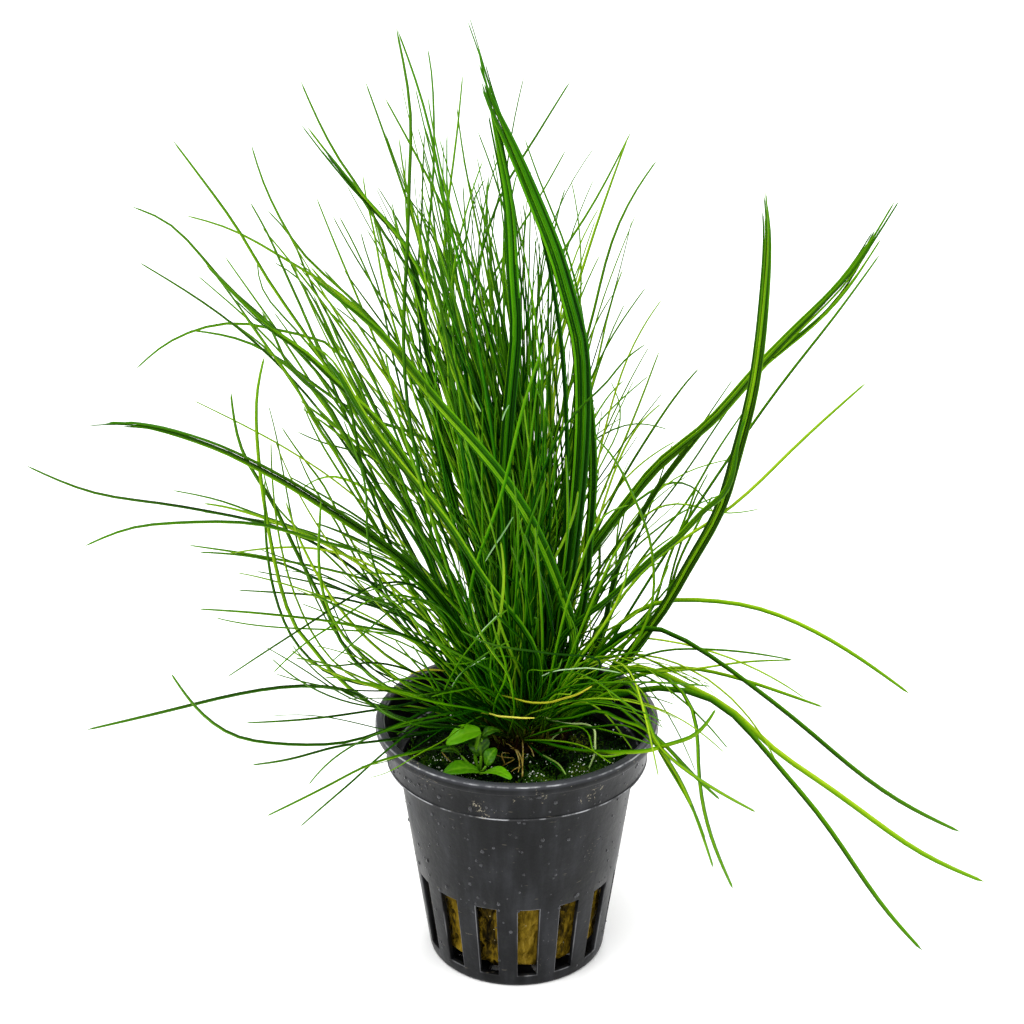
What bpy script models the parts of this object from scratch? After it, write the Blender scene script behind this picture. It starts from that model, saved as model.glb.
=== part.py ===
"""Dwarf hairgrass in a small black net pot.

Z is up, the pot's axis is the Z axis, and the pot stands on Z = 0 with its centre at the origin.
Every length below is in millimetres; the meshes are made in metres.
"""
import cmath
import math

import bpy
import numpy as np
from mathutils import Vector, noise

MM = 0.001

# Net pot
POT_HEIGHT = 51.0
RIM_RADIUS = 27.5
COLLAR_TOP_RADIUS = 26.5
COLLAR_FOOT_RADIUS = 25.3
COLLAR_HEIGHT = 8.7
BODY_TOP_RADIUS = 23.3
BASE_RADIUS = 17.5
WALL = 1.0
FLOOR = 1.4
LIP_DEPTH = 2.5
TURN_STEPS = 60
SLOTS = 15
SLOT_TURN = 6.5
SLOT_WIDTH = 4.1
SLOT_BOTTOM = 2.6
SLOT_TOP = 19.2
SLOT_CUT_INNER = 15.2
SLOT_CUT_OUTER = 24.0
FLOOR_SLOTS = 10
FLOOR_SLOT_WIDTH = 2.4
FLOOR_SLOT_INNER = 6.0
FLOOR_SLOT_OUTER = 14.6
CUT_PAST = 0.5

# Plug of mineral wool and what lies on it
GAP = 0.3
PLUG_TOP = 42.3
PLUG_SIDES = 30
# Height, how far inside the pot's inner wall, and how deep the dents are, from the foot up
PLUG_RINGS = [(FLOOR + GAP, 3.3, 0.5), (2.6, 1.5, 0.6), (4.4, 0.6, 0.8), (9.0, 0.6, 0.8), (13.0, 0.6, 0.8),
              (17.0, 0.6, 0.8), (28.0, 0.6, 0.8), (PLUG_TOP - 1.2, 0.8, 0.3), (PLUG_TOP, 1.6, 0.3)]
DENT_SPACING = 4.0
CROWN_CENTRE = (1.5, 8.0)
CROWN_RADIUS = 9.4
CROWN_HEIGHT = 1.9
CROWN_SIDES = 28
# Height above the plug, how far inside the crown's radius, and how deep the dents are
CROWN_RINGS = [(0.0, 0.6, 1.0), (0.8, 0.0, 1.2), (CROWN_HEIGHT, 0.5, 0.6)]
CROWN_TOP = PLUG_TOP + GAP + CROWN_HEIGHT
MOSS_HEIGHT = 1.7
MOSS_EDGE = 0.35
MOSS_ROWS = 5
MOSS_CELL_TURN = 8
MOSS_LUMP_SPACING = 2.6
# Start and end angle, inner and outer radius
MOSS_DARK = {
    "moss_left": (188, 240, 13.4, 21.0),
    "moss_front": (278, 302, 8.6, 21.0),
    "moss_right": (304, 352, 12.6, 21.0),
}
MOSS_YELLOW = (252, 276, 13.0, 21.0)

# Leaves: a tuft stands on a clump of stems, and its locks taper from there to their tips
OUTER_RING = 7.4
OUTER_TUFTS = 11
INNER_RING = 2.6
INNER_TUFTS = 4
CLUMP_RADIUS = 1.45
CLUMP_HEIGHT = 2.4
CLUMP_PEAK = 0.3
LOCK_INSET = 0.78
LOCK_STEPS = 8
STRAND_STEPS = 11
TIP_SHARE = 0.14
TAPER_POWER = 2.2
DEPTH_POWER = 1.15
# How far leaves keep from each other; close to their root, those of one tuft may touch
CLEARANCE = 0.45
SHARED_HEIGHT = 9.0
SEARCH_REACH = 3.0
SAMPLE_STEP = 1.2

# The eye that the leaves' outlines are drawn for looks down on the pot from the front.
# An outline is drawn on the upright plane through the pot's axis.
EYE = np.array((-0.9, -367.0, 252.6))

# A lock is the depth of its tip, plus away from the eye, and its outline from root to tip
OUTER_LOCKS = {
    "tuft_right": [
        (14, (15, 67), (26, 82), (36, 95)),
        (12, (16, 73), (30, 96), (43, 110), (52, 125), (65, 144)),
        (-16, (18, 71), (38, 93), (50, 106), (64, 119)),
        (26, (20, 71), (36, 91), (45, 94)),
        (-20, (18, 65), (33, 76), (52, 72), (68, 62), (76, 55)),
        (-6, (18, 57), (32, 61), (52, 62)),
    ],
    "tuft_right_back": [
        (60, (5, 86), (8, 126), (11, 149), (20, 166)),
        (42, (7, 81), (11, 121), (16, 141), (25, 161)),
        (18, (8, 86), (10, 121), (13, 145), (19, 165)),
        (30, (10, 79), (14, 120), (23, 138)),
        (48, (14, 75), (30, 101), (42, 105)),
        (14, (9, 72), (15, 99), (21, 111), (28, 110)),
    ],
    "tuft_back_right": [
        (74, (8, 73), (20, 94), (30, 100), (37, 93)),
        (70, (5, 79), (13, 109), (24, 121)),
        (56, (9, 73), (24, 93), (40, 100)),
        (78, (3, 79), (6, 113), (10, 133)),
    ],
    "tuft_back": [
        (70, (2, 79), (2, 113), (-2, 139)),
        (88, (2, 75), (5, 99), (9, 105)),
        (80, (0, 79), (-5, 109), (-13, 125)),
        (84, (0, 73), (-4, 93), (-11, 97)),
    ],
    "tuft_back_left": [
        (22, (-6, 75), (-22, 102), (-38, 129), (-60, 164)),
        (52, (-5, 77), (-18, 105), (-34, 135), (-46, 163)),
        (36, (-5, 75), (-18, 106), (-36, 138), (-59, 151)),
        (60, (-3, 77), (-12, 105), (-28, 134), (-35, 154)),
        (74, (-5, 73), (-18, 95), (-29, 100), (-35, 92)),
    ],
    "tuft_left_back": [
        (26, (-9, 73), (-32, 114), (-50, 130), (-67, 142)),
        (4, (-9, 71), (-29, 111), (-47, 134), (-68, 152)),
        (46, (-8, 71), (-28, 107), (-46, 126), (-59, 130)),
        (58, (-7, 73), (-24, 105), (-45, 131), (-52, 143)),
        (22, (-10, 65), (-30, 81), (-48, 101), (-52, 118)),
    ],
    "tuft_left": [
        (-4, (-10, 63), (-25, 81), (-46, 91), (-67, 96), (-91, 103)),
        (-24, (-10, 62), (-28, 85), (-48, 92), (-66, 92), (-81, 87)),
        (14, (-12, 63), (-31, 80), (-45, 84), (-62, 87)),
        (-30, (-10, 59), (-23, 68), (-40, 72), (-61, 74)),
        (-36, (-10, 61), (-26, 76), (-38, 72), (-56, 59)),
        (-8, (-13, 54), (-30, 57), (-42, 71), (-47, 99), (-46, 124)),
    ],
    "tuft_left_front": [
        (-26, (-12, 52), (-27, 54), (-44, 57), (-64, 53), (-84, 47)),
        (-36, (-11, 50), (-24, 48), (-42, 44), (-55, 48), (-67, 60)),
        (-14, (-12, 53), (-27, 52), (-42, 50), (-53, 49)),
        (-42, (-10, 50), (-24, 47), (-39, 43), (-52, 40)),
        (-64, (-9, 50), (-21, 45), (-35, 38), (-49, 28)),
        (-62, (-8, 52), (-20, 46), (-33, 37), (-43, 26)),
    ],
    "tuft_front_left": [
        (-56, (-4, 61), (-13, 81), (-22, 95)),
        (-62, (-1, 63), (-4, 87), (-10, 109)),
        (-52, (-6, 59), (-19, 72), (-33, 77)),
        (-54, (1, 61), (3, 83), (5, 99)),
    ],
    "tuft_front_right": [
        (-58, (7, 61), (17, 79), (24, 97)),
        (-50, (5, 63), (9, 85), (9, 105)),
        (-62, (12, 53), (25, 47), (36, 37), (48, 29)),
        (-60, (11, 54), (24, 49), (33, 33), (39, 16)),
        (-66, (12, 56), (26, 58), (36, 38), (44, 11)),
        (-56, (12, 56), (22, 62), (34, 58), (48, 45), (66, 19), (83, -4)),
    ],
    "tuft_right_front": [
        (-14, (13, 56), (29, 64), (41, 65), (53, 64)),
        (-36, (13, 57), (27, 63), (44, 59), (59, 53)),
        (-44, (15, 63), (33, 66), (56, 49), (77, 31), (89, 24)),
        (-38, (13, 58), (22, 64), (35, 60), (50, 44), (71, 28), (94, 13)),
    ],
}
INNER_LOCKS = {
    "tuft_middle_right_back": [
        (46, (1, 87), (-5, 123), (-11, 156), (-9, 175)),
        (24, (2, 87), (-1, 129), (1, 158), (9, 175)),
        (56, (3, 85), (0, 127), (4, 153), (9, 164)),
        (-6, (4, 87), (8, 125), (5, 153), (1, 165)),
    ],
    "tuft_middle_left_back": [
        (30, (-2, 85), (-11, 117), (-24, 149), (-37, 175)),
        (-14, (-3, 83), (-12, 119), (-23, 149), (-37, 167)),
        (52, (-1, 85), (-8, 117), (-18, 149), (-26, 174)),
        (6, (-2, 83), (-7, 121), (-13, 151), (-23, 172)),
        (10, (-3, 83), (-15, 119), (-26, 141), (-31, 152)),
    ],
    "tuft_middle_left_front": [
        (-16, (-1, 83), (-11, 125), (-19, 157), (-21, 184)),
        (16, (0, 85), (-6, 123), (-13, 155), (-20, 184)),
        (38, (0, 83), (-10, 123), (-15, 151), (-15, 180)),
        (-46, (-2, 73), (-10, 96), (-17, 119)),
    ],
    "tuft_middle_right_front": [
        (4, (2, 85), (-1, 125), (-4, 161), (-8, 186)),
        (-42, (3, 77), (6, 101), (5, 125)),
        (-22, (3, 81), (4, 113), (9, 141)),
        (-30, (5, 79), (13, 105), (23, 127)),
    ],
}
# A strand is several wet leaves that cling together: angle and radius of its place on the crown,
# width, depth of its tip, outline
STRANDS = {
    "strand_top": (16, 5.0, 2.4, -16, (12, 73), (12, 101), (12, 127), (5, 150), (-7, 176)),
    "strand_beside_top": (49, 5.0, 1.6, -4, (14, 75), (15, 100), (13, 120)),
    "strand_middle": (213, 5.0, 1.6, -12, (0, 85), (1, 113), (-1, 146), (-4, 167)),
    "strand_top_left": (147, 5.0, 1.4, -2, (-3, 85), (-11, 119), (-22, 145), (-35, 164)),
    "strand_left": (180, 5.0, 1.8, -20, (-9, 65), (-22, 82), (-43, 99), (-60, 109), (-78, 111)),
    "strand_right": (344, 8.8, 2.3, -26, (14, 54), (25, 70), (38, 95), (44, 125), (43, 156)),
    "strand_far_right": (82, 5.0, 2.1, 16, (8, 65), (18, 91), (38, 116), (55, 134), (66, 153)),
    "strand_cross_wide": (344, 5.0, 1.8, -38, (10, 63), (8, 79), (-7, 107), (-25, 130), (-42, 150)),
    "strand_cross_slim": (278, 5.0, 1.2, -46, (4, 63), (-3, 78), (-19, 101), (-39, 125)),
}

# Small broad-leaved seedling beside the grass
SEEDLING_FOOT = (-7.2, -8.0, PLUG_TOP + GAP)
SEEDLING_STALKS = [(-9.3, -9.1, 47.9), (-5.9, -7.3, 48.2), (-5.0, -9.6, 45.6)]
STALK_WIDTH = 0.9
BLADE_ROWS = 5
BLADE_THICKNESS = 0.3
RIB_THICKNESS = 0.45
BLADE_ARCH = 0.6
BLADE_FOLD = 0.22
# A leaf is its foot, its tip, its width and how its blade leans to its right
SEEDLING_LEAVES = [
    ((-7.6, -7.6, 50.6), (-13.6, -9.6, 50.9), 4.0, 0.3),
    ((-6.6, -6.4, 49.4), (-2.9, -4.6, 50.4), 2.2, -0.2),
    ((-6.9, -8.2, 46.6), (-7.9, -5.4, 49.2), 3.2, 0.1),
    ((-8.4, -10.0, 44.4), (-13.4, -13.2, 46.4), 3.6, 0.2),
    ((-4.6, -9.9, 46.2), (-3.0, -8.2, 48.2), 2.4, -0.4),
    ((-6.4, -10.6, 43.8), (-0.9, -14.6, 45.9), 2.8, 0.0),
    ((-11.3, -8.4, 47.0), (-14.5, -8.6, 48.2), 1.8, 0.3),
]

# Runner, roots and dead leaves: thickness and the points that each passes through
RUNNER = (0.8, (6.7, -0.7, 43.2), (7.2, -1.0, 47.6), (9.4, -0.9, 48.6), (12.4, -0.2, 48.2),
          (15.2, -1.2, 47.6), (15.2, -5.0, 46.8), (14.2, -9.0, 45.6))
ROOTS = {
    "root_long": (0.6, (0.6, -1.6, 43.4), (-0.2, -4.6, 45.6), (0.4, -8.0, 45.4), (0.2, -12.5, 45.2)),
    "root_short": (0.6, (-1.4, -1.9, 43.3), (-2.9, -4.4, 44.7), (-2.2, -8.2, 44.4)),
}
DEAD_LEAVES = {
    "dead_leaf_arched": (0.8, (-3.6, -1.2, 43.0), (-1.6, -1.9, 51.4), (5.0, -4.6, 55.4),
                         (13.9, -12.0, 63.5)),
    "dead_leaf_low": (0.8, (-8.6, 1.4, 43.0), (-6.4, -2.4, 50.4), (0.4, -4.8, 51.2), (6.2, -6.0, 52.4)),
    "dead_leaf_left": (0.8, (-8.9, 4.6, 43.0), (-12.4, -0.8, 57.4), (-20.9, -3.6, 58.6)),
}


def clear_scene():
    """Remove what the file holds, so that the part stands alone."""
    for thing in list(bpy.data.objects):
        bpy.data.objects.remove(thing, do_unlink=True)


def material(name, colour, roughness):
    """A plain finish in one colour."""
    finish = bpy.data.materials.new(name)
    finish.use_nodes = True
    shader = finish.node_tree.nodes["Principled BSDF"]
    shader.inputs["Base Color"].default_value = (*colour, 1.0)
    shader.inputs["Roughness"].default_value = roughness
    shader.inputs["Metallic"].default_value = 0.0
    finish.diffuse_color = (*colour, 1.0)
    return finish


def make_object(name, vertices, faces, finish=None):
    """An object from points in millimetres and their faces."""
    mesh = bpy.data.meshes.new(name)
    mesh.from_pydata([Vector(v) * MM for v in vertices], [], faces)
    mesh.update()
    if finish:
        mesh.materials.append(finish)
    body = bpy.data.objects.new(name, mesh)
    bpy.context.collection.objects.link(body)
    return body


def shade(body, angle):
    """Smooth shading that keeps edges sharper than the angle."""
    body.data.shade_smooth()
    body.data.set_sharp_from_angle(angle=math.radians(angle))


def around(angle, radius, height=0.0):
    """The point at an angle in degrees, counted from +X, on a circle about the pot's axis."""
    turn = math.radians(angle)
    return (radius * math.cos(turn), radius * math.sin(turn), height)


def body_radius(height):
    """Outer radius of the pot's tapered wall at a height."""
    top = POT_HEIGHT - COLLAR_HEIGHT
    return BASE_RADIUS + (BODY_TOP_RADIUS - BASE_RADIUS) * height / top


def pot_profile():
    """Half section of the pot: from the middle of its floor up the inside and down the outside."""
    collar_foot = POT_HEIGHT - COLLAR_HEIGHT
    lip_foot = POT_HEIGHT - LIP_DEPTH
    return [
        (0.0, FLOOR),
        (body_radius(FLOOR) - WALL, FLOOR),
        (BODY_TOP_RADIUS - WALL, collar_foot - 0.4),
        (COLLAR_FOOT_RADIUS - WALL, collar_foot + 0.6),
        (COLLAR_TOP_RADIUS - WALL, lip_foot),
        (RIM_RADIUS - 1.8, POT_HEIGHT - 0.6),
        (RIM_RADIUS - 1.3, POT_HEIGHT),
        (RIM_RADIUS - 0.5, POT_HEIGHT),
        (RIM_RADIUS, POT_HEIGHT - 0.6),
        (RIM_RADIUS, lip_foot + 0.5),
        (COLLAR_TOP_RADIUS, lip_foot),
        (COLLAR_FOOT_RADIUS, collar_foot),
        (BODY_TOP_RADIUS, collar_foot - 0.5),
        (BASE_RADIUS + 0.1, 0.7),
        (BASE_RADIUS - 0.6, 0.0),
        (0.0, 0.0),
    ]


def bar(angle, inner, outer, width, bottom, top):
    """A radial bar, as eight points and six faces."""
    turn = math.radians(angle)
    outward = Vector((math.cos(turn), math.sin(turn), 0.0))
    aside = Vector((-math.sin(turn), math.cos(turn), 0.0)) * width / 2
    corners = []
    for height in (bottom, top):
        lift = Vector((0.0, 0.0, height))
        corners += [outward * inner - aside + lift, outward * outer - aside + lift,
                    outward * outer + aside + lift, outward * inner + aside + lift]
    faces = [(3, 2, 1, 0), (4, 5, 6, 7), (0, 1, 5, 4), (1, 2, 6, 5), (2, 3, 7, 6), (3, 0, 4, 7)]
    return corners, faces


def join(shapes):
    """Several lists of points and faces as one."""
    vertices = []
    faces = []
    for corners, sides in shapes:
        start = len(vertices)
        vertices += list(corners)
        faces += [tuple(start + index for index in side) for side in sides]
    return vertices, faces


def slot_cutter():
    """Everything that is cut from the pot: tall slots round its foot and radial slots in its floor."""
    bars = []
    for index in range(SLOTS):
        angle = -90 + SLOT_TURN + index * 360 / SLOTS
        bars.append(bar(angle, SLOT_CUT_INNER, SLOT_CUT_OUTER, SLOT_WIDTH, SLOT_BOTTOM, SLOT_TOP))
    for index in range(FLOOR_SLOTS):
        angle = index * 360 / FLOOR_SLOTS
        bars.append(bar(angle, FLOOR_SLOT_INNER, FLOOR_SLOT_OUTER, FLOOR_SLOT_WIDTH,
                        -CUT_PAST, FLOOR + CUT_PAST))
    cutter = make_object("slot_cutter", *join(bars))
    cutter.hide_render = True
    cutter.display_type = "WIRE"
    return cutter


def net_pot():
    """The moulded pot: a turned shell with its slots cut out."""
    profile = [(radius, 0.0, height) for radius, height in pot_profile()]
    edges = [(index, index + 1) for index in range(len(profile) - 1)]
    mesh = bpy.data.meshes.new("net_pot")
    mesh.from_pydata([Vector(point) * MM for point in profile], edges, [])
    mesh.materials.append(material("black_plastic", (0.035, 0.036, 0.039), 0.42))
    pot = bpy.data.objects.new("net_pot", mesh)
    bpy.context.collection.objects.link(pot)
    turn = pot.modifiers.new("Turn", "SCREW")
    turn.steps = TURN_STEPS
    turn.render_steps = TURN_STEPS
    turn.use_merge_vertices = True
    turn.merge_threshold = 0.00001
    cut = pot.modifiers.new("Slots", "BOOLEAN")
    cut.operation = "DIFFERENCE"
    cut.solver = "EXACT"
    cut.object = slot_cutter()


def lumpy(point, size, seed):
    """A smooth value between about -1 and 1 that wanders from place to place."""
    return noise.noise(Vector(point) / size + Vector((seed, 0.0, 0.0)))


def turned_block(rings, sides, centre=(0.0, 0.0)):
    """A closed block from rings of radius, height and a dent function, with a flat top and bottom."""
    vertices = []
    for radius, height, dent in rings:
        for index in range(sides):
            x, y, z = around(index * 360 / sides, radius, height)
            shrink = 1.0 - dent * (0.5 + 0.5 * lumpy((x, y, z), DENT_SPACING, 7.0)) / radius
            vertices.append((centre[0] + x * shrink, centre[1] + y * shrink, z))
    faces = []
    for ring in range(len(rings) - 1):
        for index in range(sides):
            after = (index + 1) % sides
            low = ring * sides
            high = low + sides
            faces.append((low + index, low + after, high + after, high + index))
    faces.append(tuple(reversed(range(sides))))
    last = (len(rings) - 1) * sides
    faces.append(tuple(range(last, last + sides)))
    return vertices, faces


def plug():
    """The block of mineral wool: it follows the pot's wall and has a ragged, rounded foot."""
    rings = [(body_radius(height) - WALL - inset, height, dent) for height, inset, dent in PLUG_RINGS]
    wool = material("mineral_wool", (0.19, 0.14, 0.045), 0.95)
    shade(make_object("rockwool_plug", *turned_block(rings, PLUG_SIDES), wool), 40)


def crown():
    """The low mat of stem bases that the grass grows from."""
    foot = PLUG_TOP + GAP
    rings = [(CROWN_RADIUS - inset, foot + height, dent) for height, inset, dent in CROWN_RINGS]
    bark = material("crown_brown", (0.06, 0.035, 0.015), 0.8)
    shade(make_object("crown", *turned_block(rings, CROWN_SIDES, CROWN_CENTRE), bark), 40)


def moss_cushion(name, start, end, inner, outer, finish):
    """A lumpy cushion with rounded corners, on the plug between two angles and two radii."""
    across = MOSS_ROWS
    along = max(MOSS_ROWS, round((end - start) / MOSS_CELL_TURN))
    foot = PLUG_TOP + GAP
    tops = []
    for row in range(across + 1):
        for column in range(along + 1):
            u = column / along
            v = row / across
            shorter = 1.0 - abs(2 * v - 1) ** 4 * 0.12
            narrower = 1.0 - abs(2 * u - 1) ** 4 * 0.25
            angle = (start + end) / 2 + (u - 0.5) * (end - start) * shorter
            reach = (inner + outer) / 2 + (v - 0.5) * (outer - inner) * narrower
            x, y, z = around(angle, reach, foot)
            swell = (math.sin(math.pi * u) * math.sin(math.pi * v)) ** 0.5
            rise = MOSS_HEIGHT * swell * (0.8 + 0.5 * lumpy((x, y, z), MOSS_LUMP_SPACING, 3.0))
            tops.append((x, y, foot + MOSS_EDGE + rise))
    count = len(tops)
    vertices = tops + [(x, y, foot) for x, y, z in tops]
    width = along + 1
    faces = []
    for row in range(across):
        for column in range(along):
            a = row * width + column
            faces.append((a, a + width, a + width + 1, a + 1))
            faces.append((count + a, count + a + 1, count + a + width + 1, count + a + width))
    edge = list(range(width)) + [row * width + along for row in range(1, across + 1)]
    edge += [across * width + column for column in range(along - 1, -1, -1)]
    edge += [row * width for row in range(across - 1, 0, -1)]
    for index, here in enumerate(edge):
        there = edge[(index + 1) % len(edge)]
        faces.append((here, there, count + there, count + here))
    shade(make_object(name, vertices, faces, finish), 60)
    return np.array(tops)


def moss():
    """Cushions of moss round the front of the plug, one of them yellow-green."""
    dark = material("moss_dark", (0.02, 0.075, 0.012), 0.9)
    bright = material("moss_bright", (0.2, 0.27, 0.03), 0.85)
    points = [moss_cushion(name, *place, dark) for name, place in MOSS_DARK.items()]
    points.append(moss_cushion("moss_yellow", *MOSS_YELLOW, bright))
    return np.vstack(points)


def smooth_line(points, count):
    """Evenly spaced points along the natural cubic spline through some points."""
    knots = np.array(points, float)
    runs = np.linalg.norm(np.diff(knots, axis=0), axis=1)
    places = np.concatenate(([0.0], np.cumsum(runs)))
    size = len(knots)
    system = np.eye(size)
    right = np.zeros_like(knots)
    for i in range(1, size - 1):
        system[i, i - 1:i + 2] = runs[i - 1], 2 * (runs[i - 1] + runs[i]), runs[i]
        right[i] = 6 * ((knots[i + 1] - knots[i]) / runs[i] - (knots[i] - knots[i - 1]) / runs[i - 1])
    bend = np.linalg.solve(system, right)
    line = []
    for place in np.linspace(0.0, places[-1], count):
        i = min(int(np.searchsorted(places, place, side="right")) - 1, size - 2)
        run = runs[i]
        a = (places[i + 1] - place) / run
        b = 1.0 - a
        curve = ((a ** 3 - a) * bend[i] + (b ** 3 - b) * bend[i + 1]) * run ** 2 / 6
        line.append(a * knots[i] + b * knots[i + 1] + curve)
    return np.array(line)


def stand_at(seen, depth):
    """The real point that an outline's point shows when it lies at a depth behind the axis."""
    drawn = np.array((seen[0], 0.0, seen[1]))
    scale = (depth - EYE[1]) / -EYE[1]
    return EYE + (drawn - EYE) * scale


def leaf_line(root, outline, tip_depth, steps, bow=0.0):
    """The middle line of a leaf: its outline, carried from the root's depth out to the tip's."""
    root = np.array(root, float)
    root_seen = EYE + (root - EYE) * EYE[1] / (EYE[1] - root[1])
    seen = np.vstack(([root_seen[0], root_seen[2]], outline))
    reach = np.concatenate(([0.0], np.cumsum(np.linalg.norm(np.diff(seen, axis=0), axis=1))))
    share = reach / reach[-1]
    depths = root[1] + (tip_depth - root[1]) * share ** DEPTH_POWER + bow * np.sin(math.pi * share)
    points = [root] + [stand_at(spot, depth) for spot, depth in zip(seen[1:], depths[1:])]
    return smooth_line(points, steps + 1)


def carried_frames(line):
    """Two directions across the line at each of its points, turned as little as they can be."""
    ways = np.gradient(line, axis=0)
    ways /= np.linalg.norm(ways, axis=1)[:, None]
    side = np.cross(ways[0], (0.0, 1.0, 0.0))
    side /= np.linalg.norm(side)
    sides = []
    for way in ways:
        side = side - way * side.dot(way)
        side /= np.linalg.norm(side)
        sides.append(side)
    sides = np.array(sides)
    return sides, np.cross(ways, sides)


def taper(share):
    """How wide a leaf is at a share of its length, against its full width."""
    return (1.0 - share ** TAPER_POWER) * (1.0 - TIP_SHARE) + TIP_SHARE


def tube(line, width, sides, flat=0.7):
    """A closed leaf or stalk that tapers along its line to a point."""
    across, out = carried_frames(line)
    vertices = []
    for index, point in enumerate(line[:-1]):
        half = width / 2 * taper(index / (len(line) - 1))
        for corner in range(sides):
            turn = 2 * math.pi * corner / sides
            vertices.append(point + across[index] * half * math.cos(turn)
                            + out[index] * half * flat * math.sin(turn))
    tip = len(vertices)
    vertices.append(line[-1])
    faces = [tuple(reversed(range(sides)))]
    for ring in range(len(line) - 2):
        low = ring * sides
        for corner in range(sides):
            after = (corner + 1) % sides
            faces.append((low + corner, low + after, low + sides + after, low + sides + corner))
    last = tip - sides
    faces += [(last + corner, last + (corner + 1) % sides, tip) for corner in range(sides)]
    return vertices, faces


class Room:
    """The leaves and other pieces that are already in place, as points with a radius."""

    def __init__(self):
        self.points = np.zeros((0, 3))
        self.radii = np.zeros(0)
        self.owners = np.zeros(0, int)
        self.count = 0

    def add(self, points, radii, owner=None):
        """Fill more room; pieces that share an owner may start side by side."""
        self.count += 1
        owner = self.count if owner is None else owner
        points = np.atleast_2d(points)
        self.points = np.vstack((self.points, points))
        self.radii = np.concatenate((self.radii, np.broadcast_to(radii, len(points))))
        self.owners = np.concatenate((self.owners, np.full(len(points), owner)))
        return owner

    def gap(self, points, radii, owner=None):
        """The smallest gap between new points and what is in place near them."""
        inside = np.all((self.points > points.min(axis=0) - SEARCH_REACH)
                        & (self.points < points.max(axis=0) + SEARCH_REACH), axis=1)
        if not inside.any():
            return SEARCH_REACH
        others = self.points[inside]
        spans = ((points ** 2).sum(axis=1)[:, None] + (others ** 2).sum(axis=1)[None]
                 - 2 * points @ others.T)
        gaps = np.sqrt(np.maximum(spans, 0.0)) - radii[:, None] - self.radii[inside][None]
        if owner is not None:
            near = points[:, 2] < CROWN_TOP + CLUMP_HEIGHT + SHARED_HEIGHT
            gaps[np.ix_(near, self.owners[inside] == owner)] = SEARCH_REACH
        return gaps.min()


def samples(line, width):
    """Points close together along a line of straight runs, with the leaf's half width at each."""
    points = []
    radii = []
    for index in range(len(line) - 1):
        run = np.linalg.norm(line[index + 1] - line[index])
        count = max(2, int(run / SAMPLE_STEP))
        for step in range(count):
            share = (index + step / count) / (len(line) - 1)
            points.append(line[index] + (line[index + 1] - line[index]) * step / count)
            radii.append(width / 2 * taper(share))
    return np.array(points), np.array(radii)


def dodges():
    """Small changes of tip depth and bow, the smallest first."""
    tips = [0, 3, -3, 6, -6, 9, -9, 13, -13, 17, -17, 22, -22]
    bows = [0, 2, -2, 4, -4, 6, -6, 9, -9]
    pairs = [(tip, bow) for tip in tips for bow in bows]
    return sorted(pairs, key=lambda pair: abs(pair[0]) + 1.6 * abs(pair[1]))


def find_room(room, root, outline, tip_depth, steps, width, owner=None):
    """A leaf's line, moved in depth until it is clear of the leaves already in place."""
    best = None
    for tip, bow in dodges():
        line = leaf_line(root, outline, tip_depth + tip, steps, bow)
        points, radii = samples(line, width)
        gap = room.gap(points, radii, owner)
        if best is None or gap > best[0]:
            best = (gap, line, points, radii)
        if gap > CLEARANCE:
            break
    room.add(best[2], best[3], owner)
    return best[1]


def pot_room(room):
    """Keep leaves off the pot's lip and collar."""
    for drop, radius, half in ((1.4, 26.3, 1.7), (4.0, 25.7, 1.2), (6.0, 25.1, 1.2), (8.0, 24.5, 1.2)):
        ring = [around(angle, radius, POT_HEIGHT - drop) for angle in range(0, 360, 3)]
        room.add(np.array(ring), half)


def stalk(name, width, points, finish, room, steps=10, sides=4):
    """A thin round piece through given points."""
    line = smooth_line(points, steps + 1)
    body = make_object(name, *tube(line, width, sides, 1.0), finish)
    shade(body, 60)
    room.add(*samples(line, width))


def seedling(room):
    """The small broad-leaved plant: a forked stem and oval leaves that taper to a point."""
    green = material("seedling_green", (0.07, 0.3, 0.02), 0.4)
    foot = Vector(SEEDLING_FOOT)
    lines = []
    for tip in SEEDLING_STALKS:
        way = Vector(tip) - foot
        lines.append(smooth_line([foot + way * 0.01, foot + way * 0.5 + Vector((0, 0, 0.5)), tip], 6))
    stem = make_object("seedling_stem", *tube(lines[0], STALK_WIDTH, 5, 1.0), green)
    for index, line in enumerate(lines[1:]):
        arm = make_object("seedling_arm_%d" % (index + 1), *tube(line, STALK_WIDTH, 5, 1.0))
        arm.hide_render = True
        arm.display_type = "WIRE"
        fuse = stem.modifiers.new("Arm", "BOOLEAN")
        fuse.operation = "UNION"
        fuse.solver = "EXACT"
        fuse.object = arm
    for line in lines:
        room.add(*samples(line, STALK_WIDTH))
    for index, (start, tip, width, lean) in enumerate(SEEDLING_LEAVES):
        oval_leaf("seedling_leaf_%d" % (index + 1), start, tip, width, lean, green, room)


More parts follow.
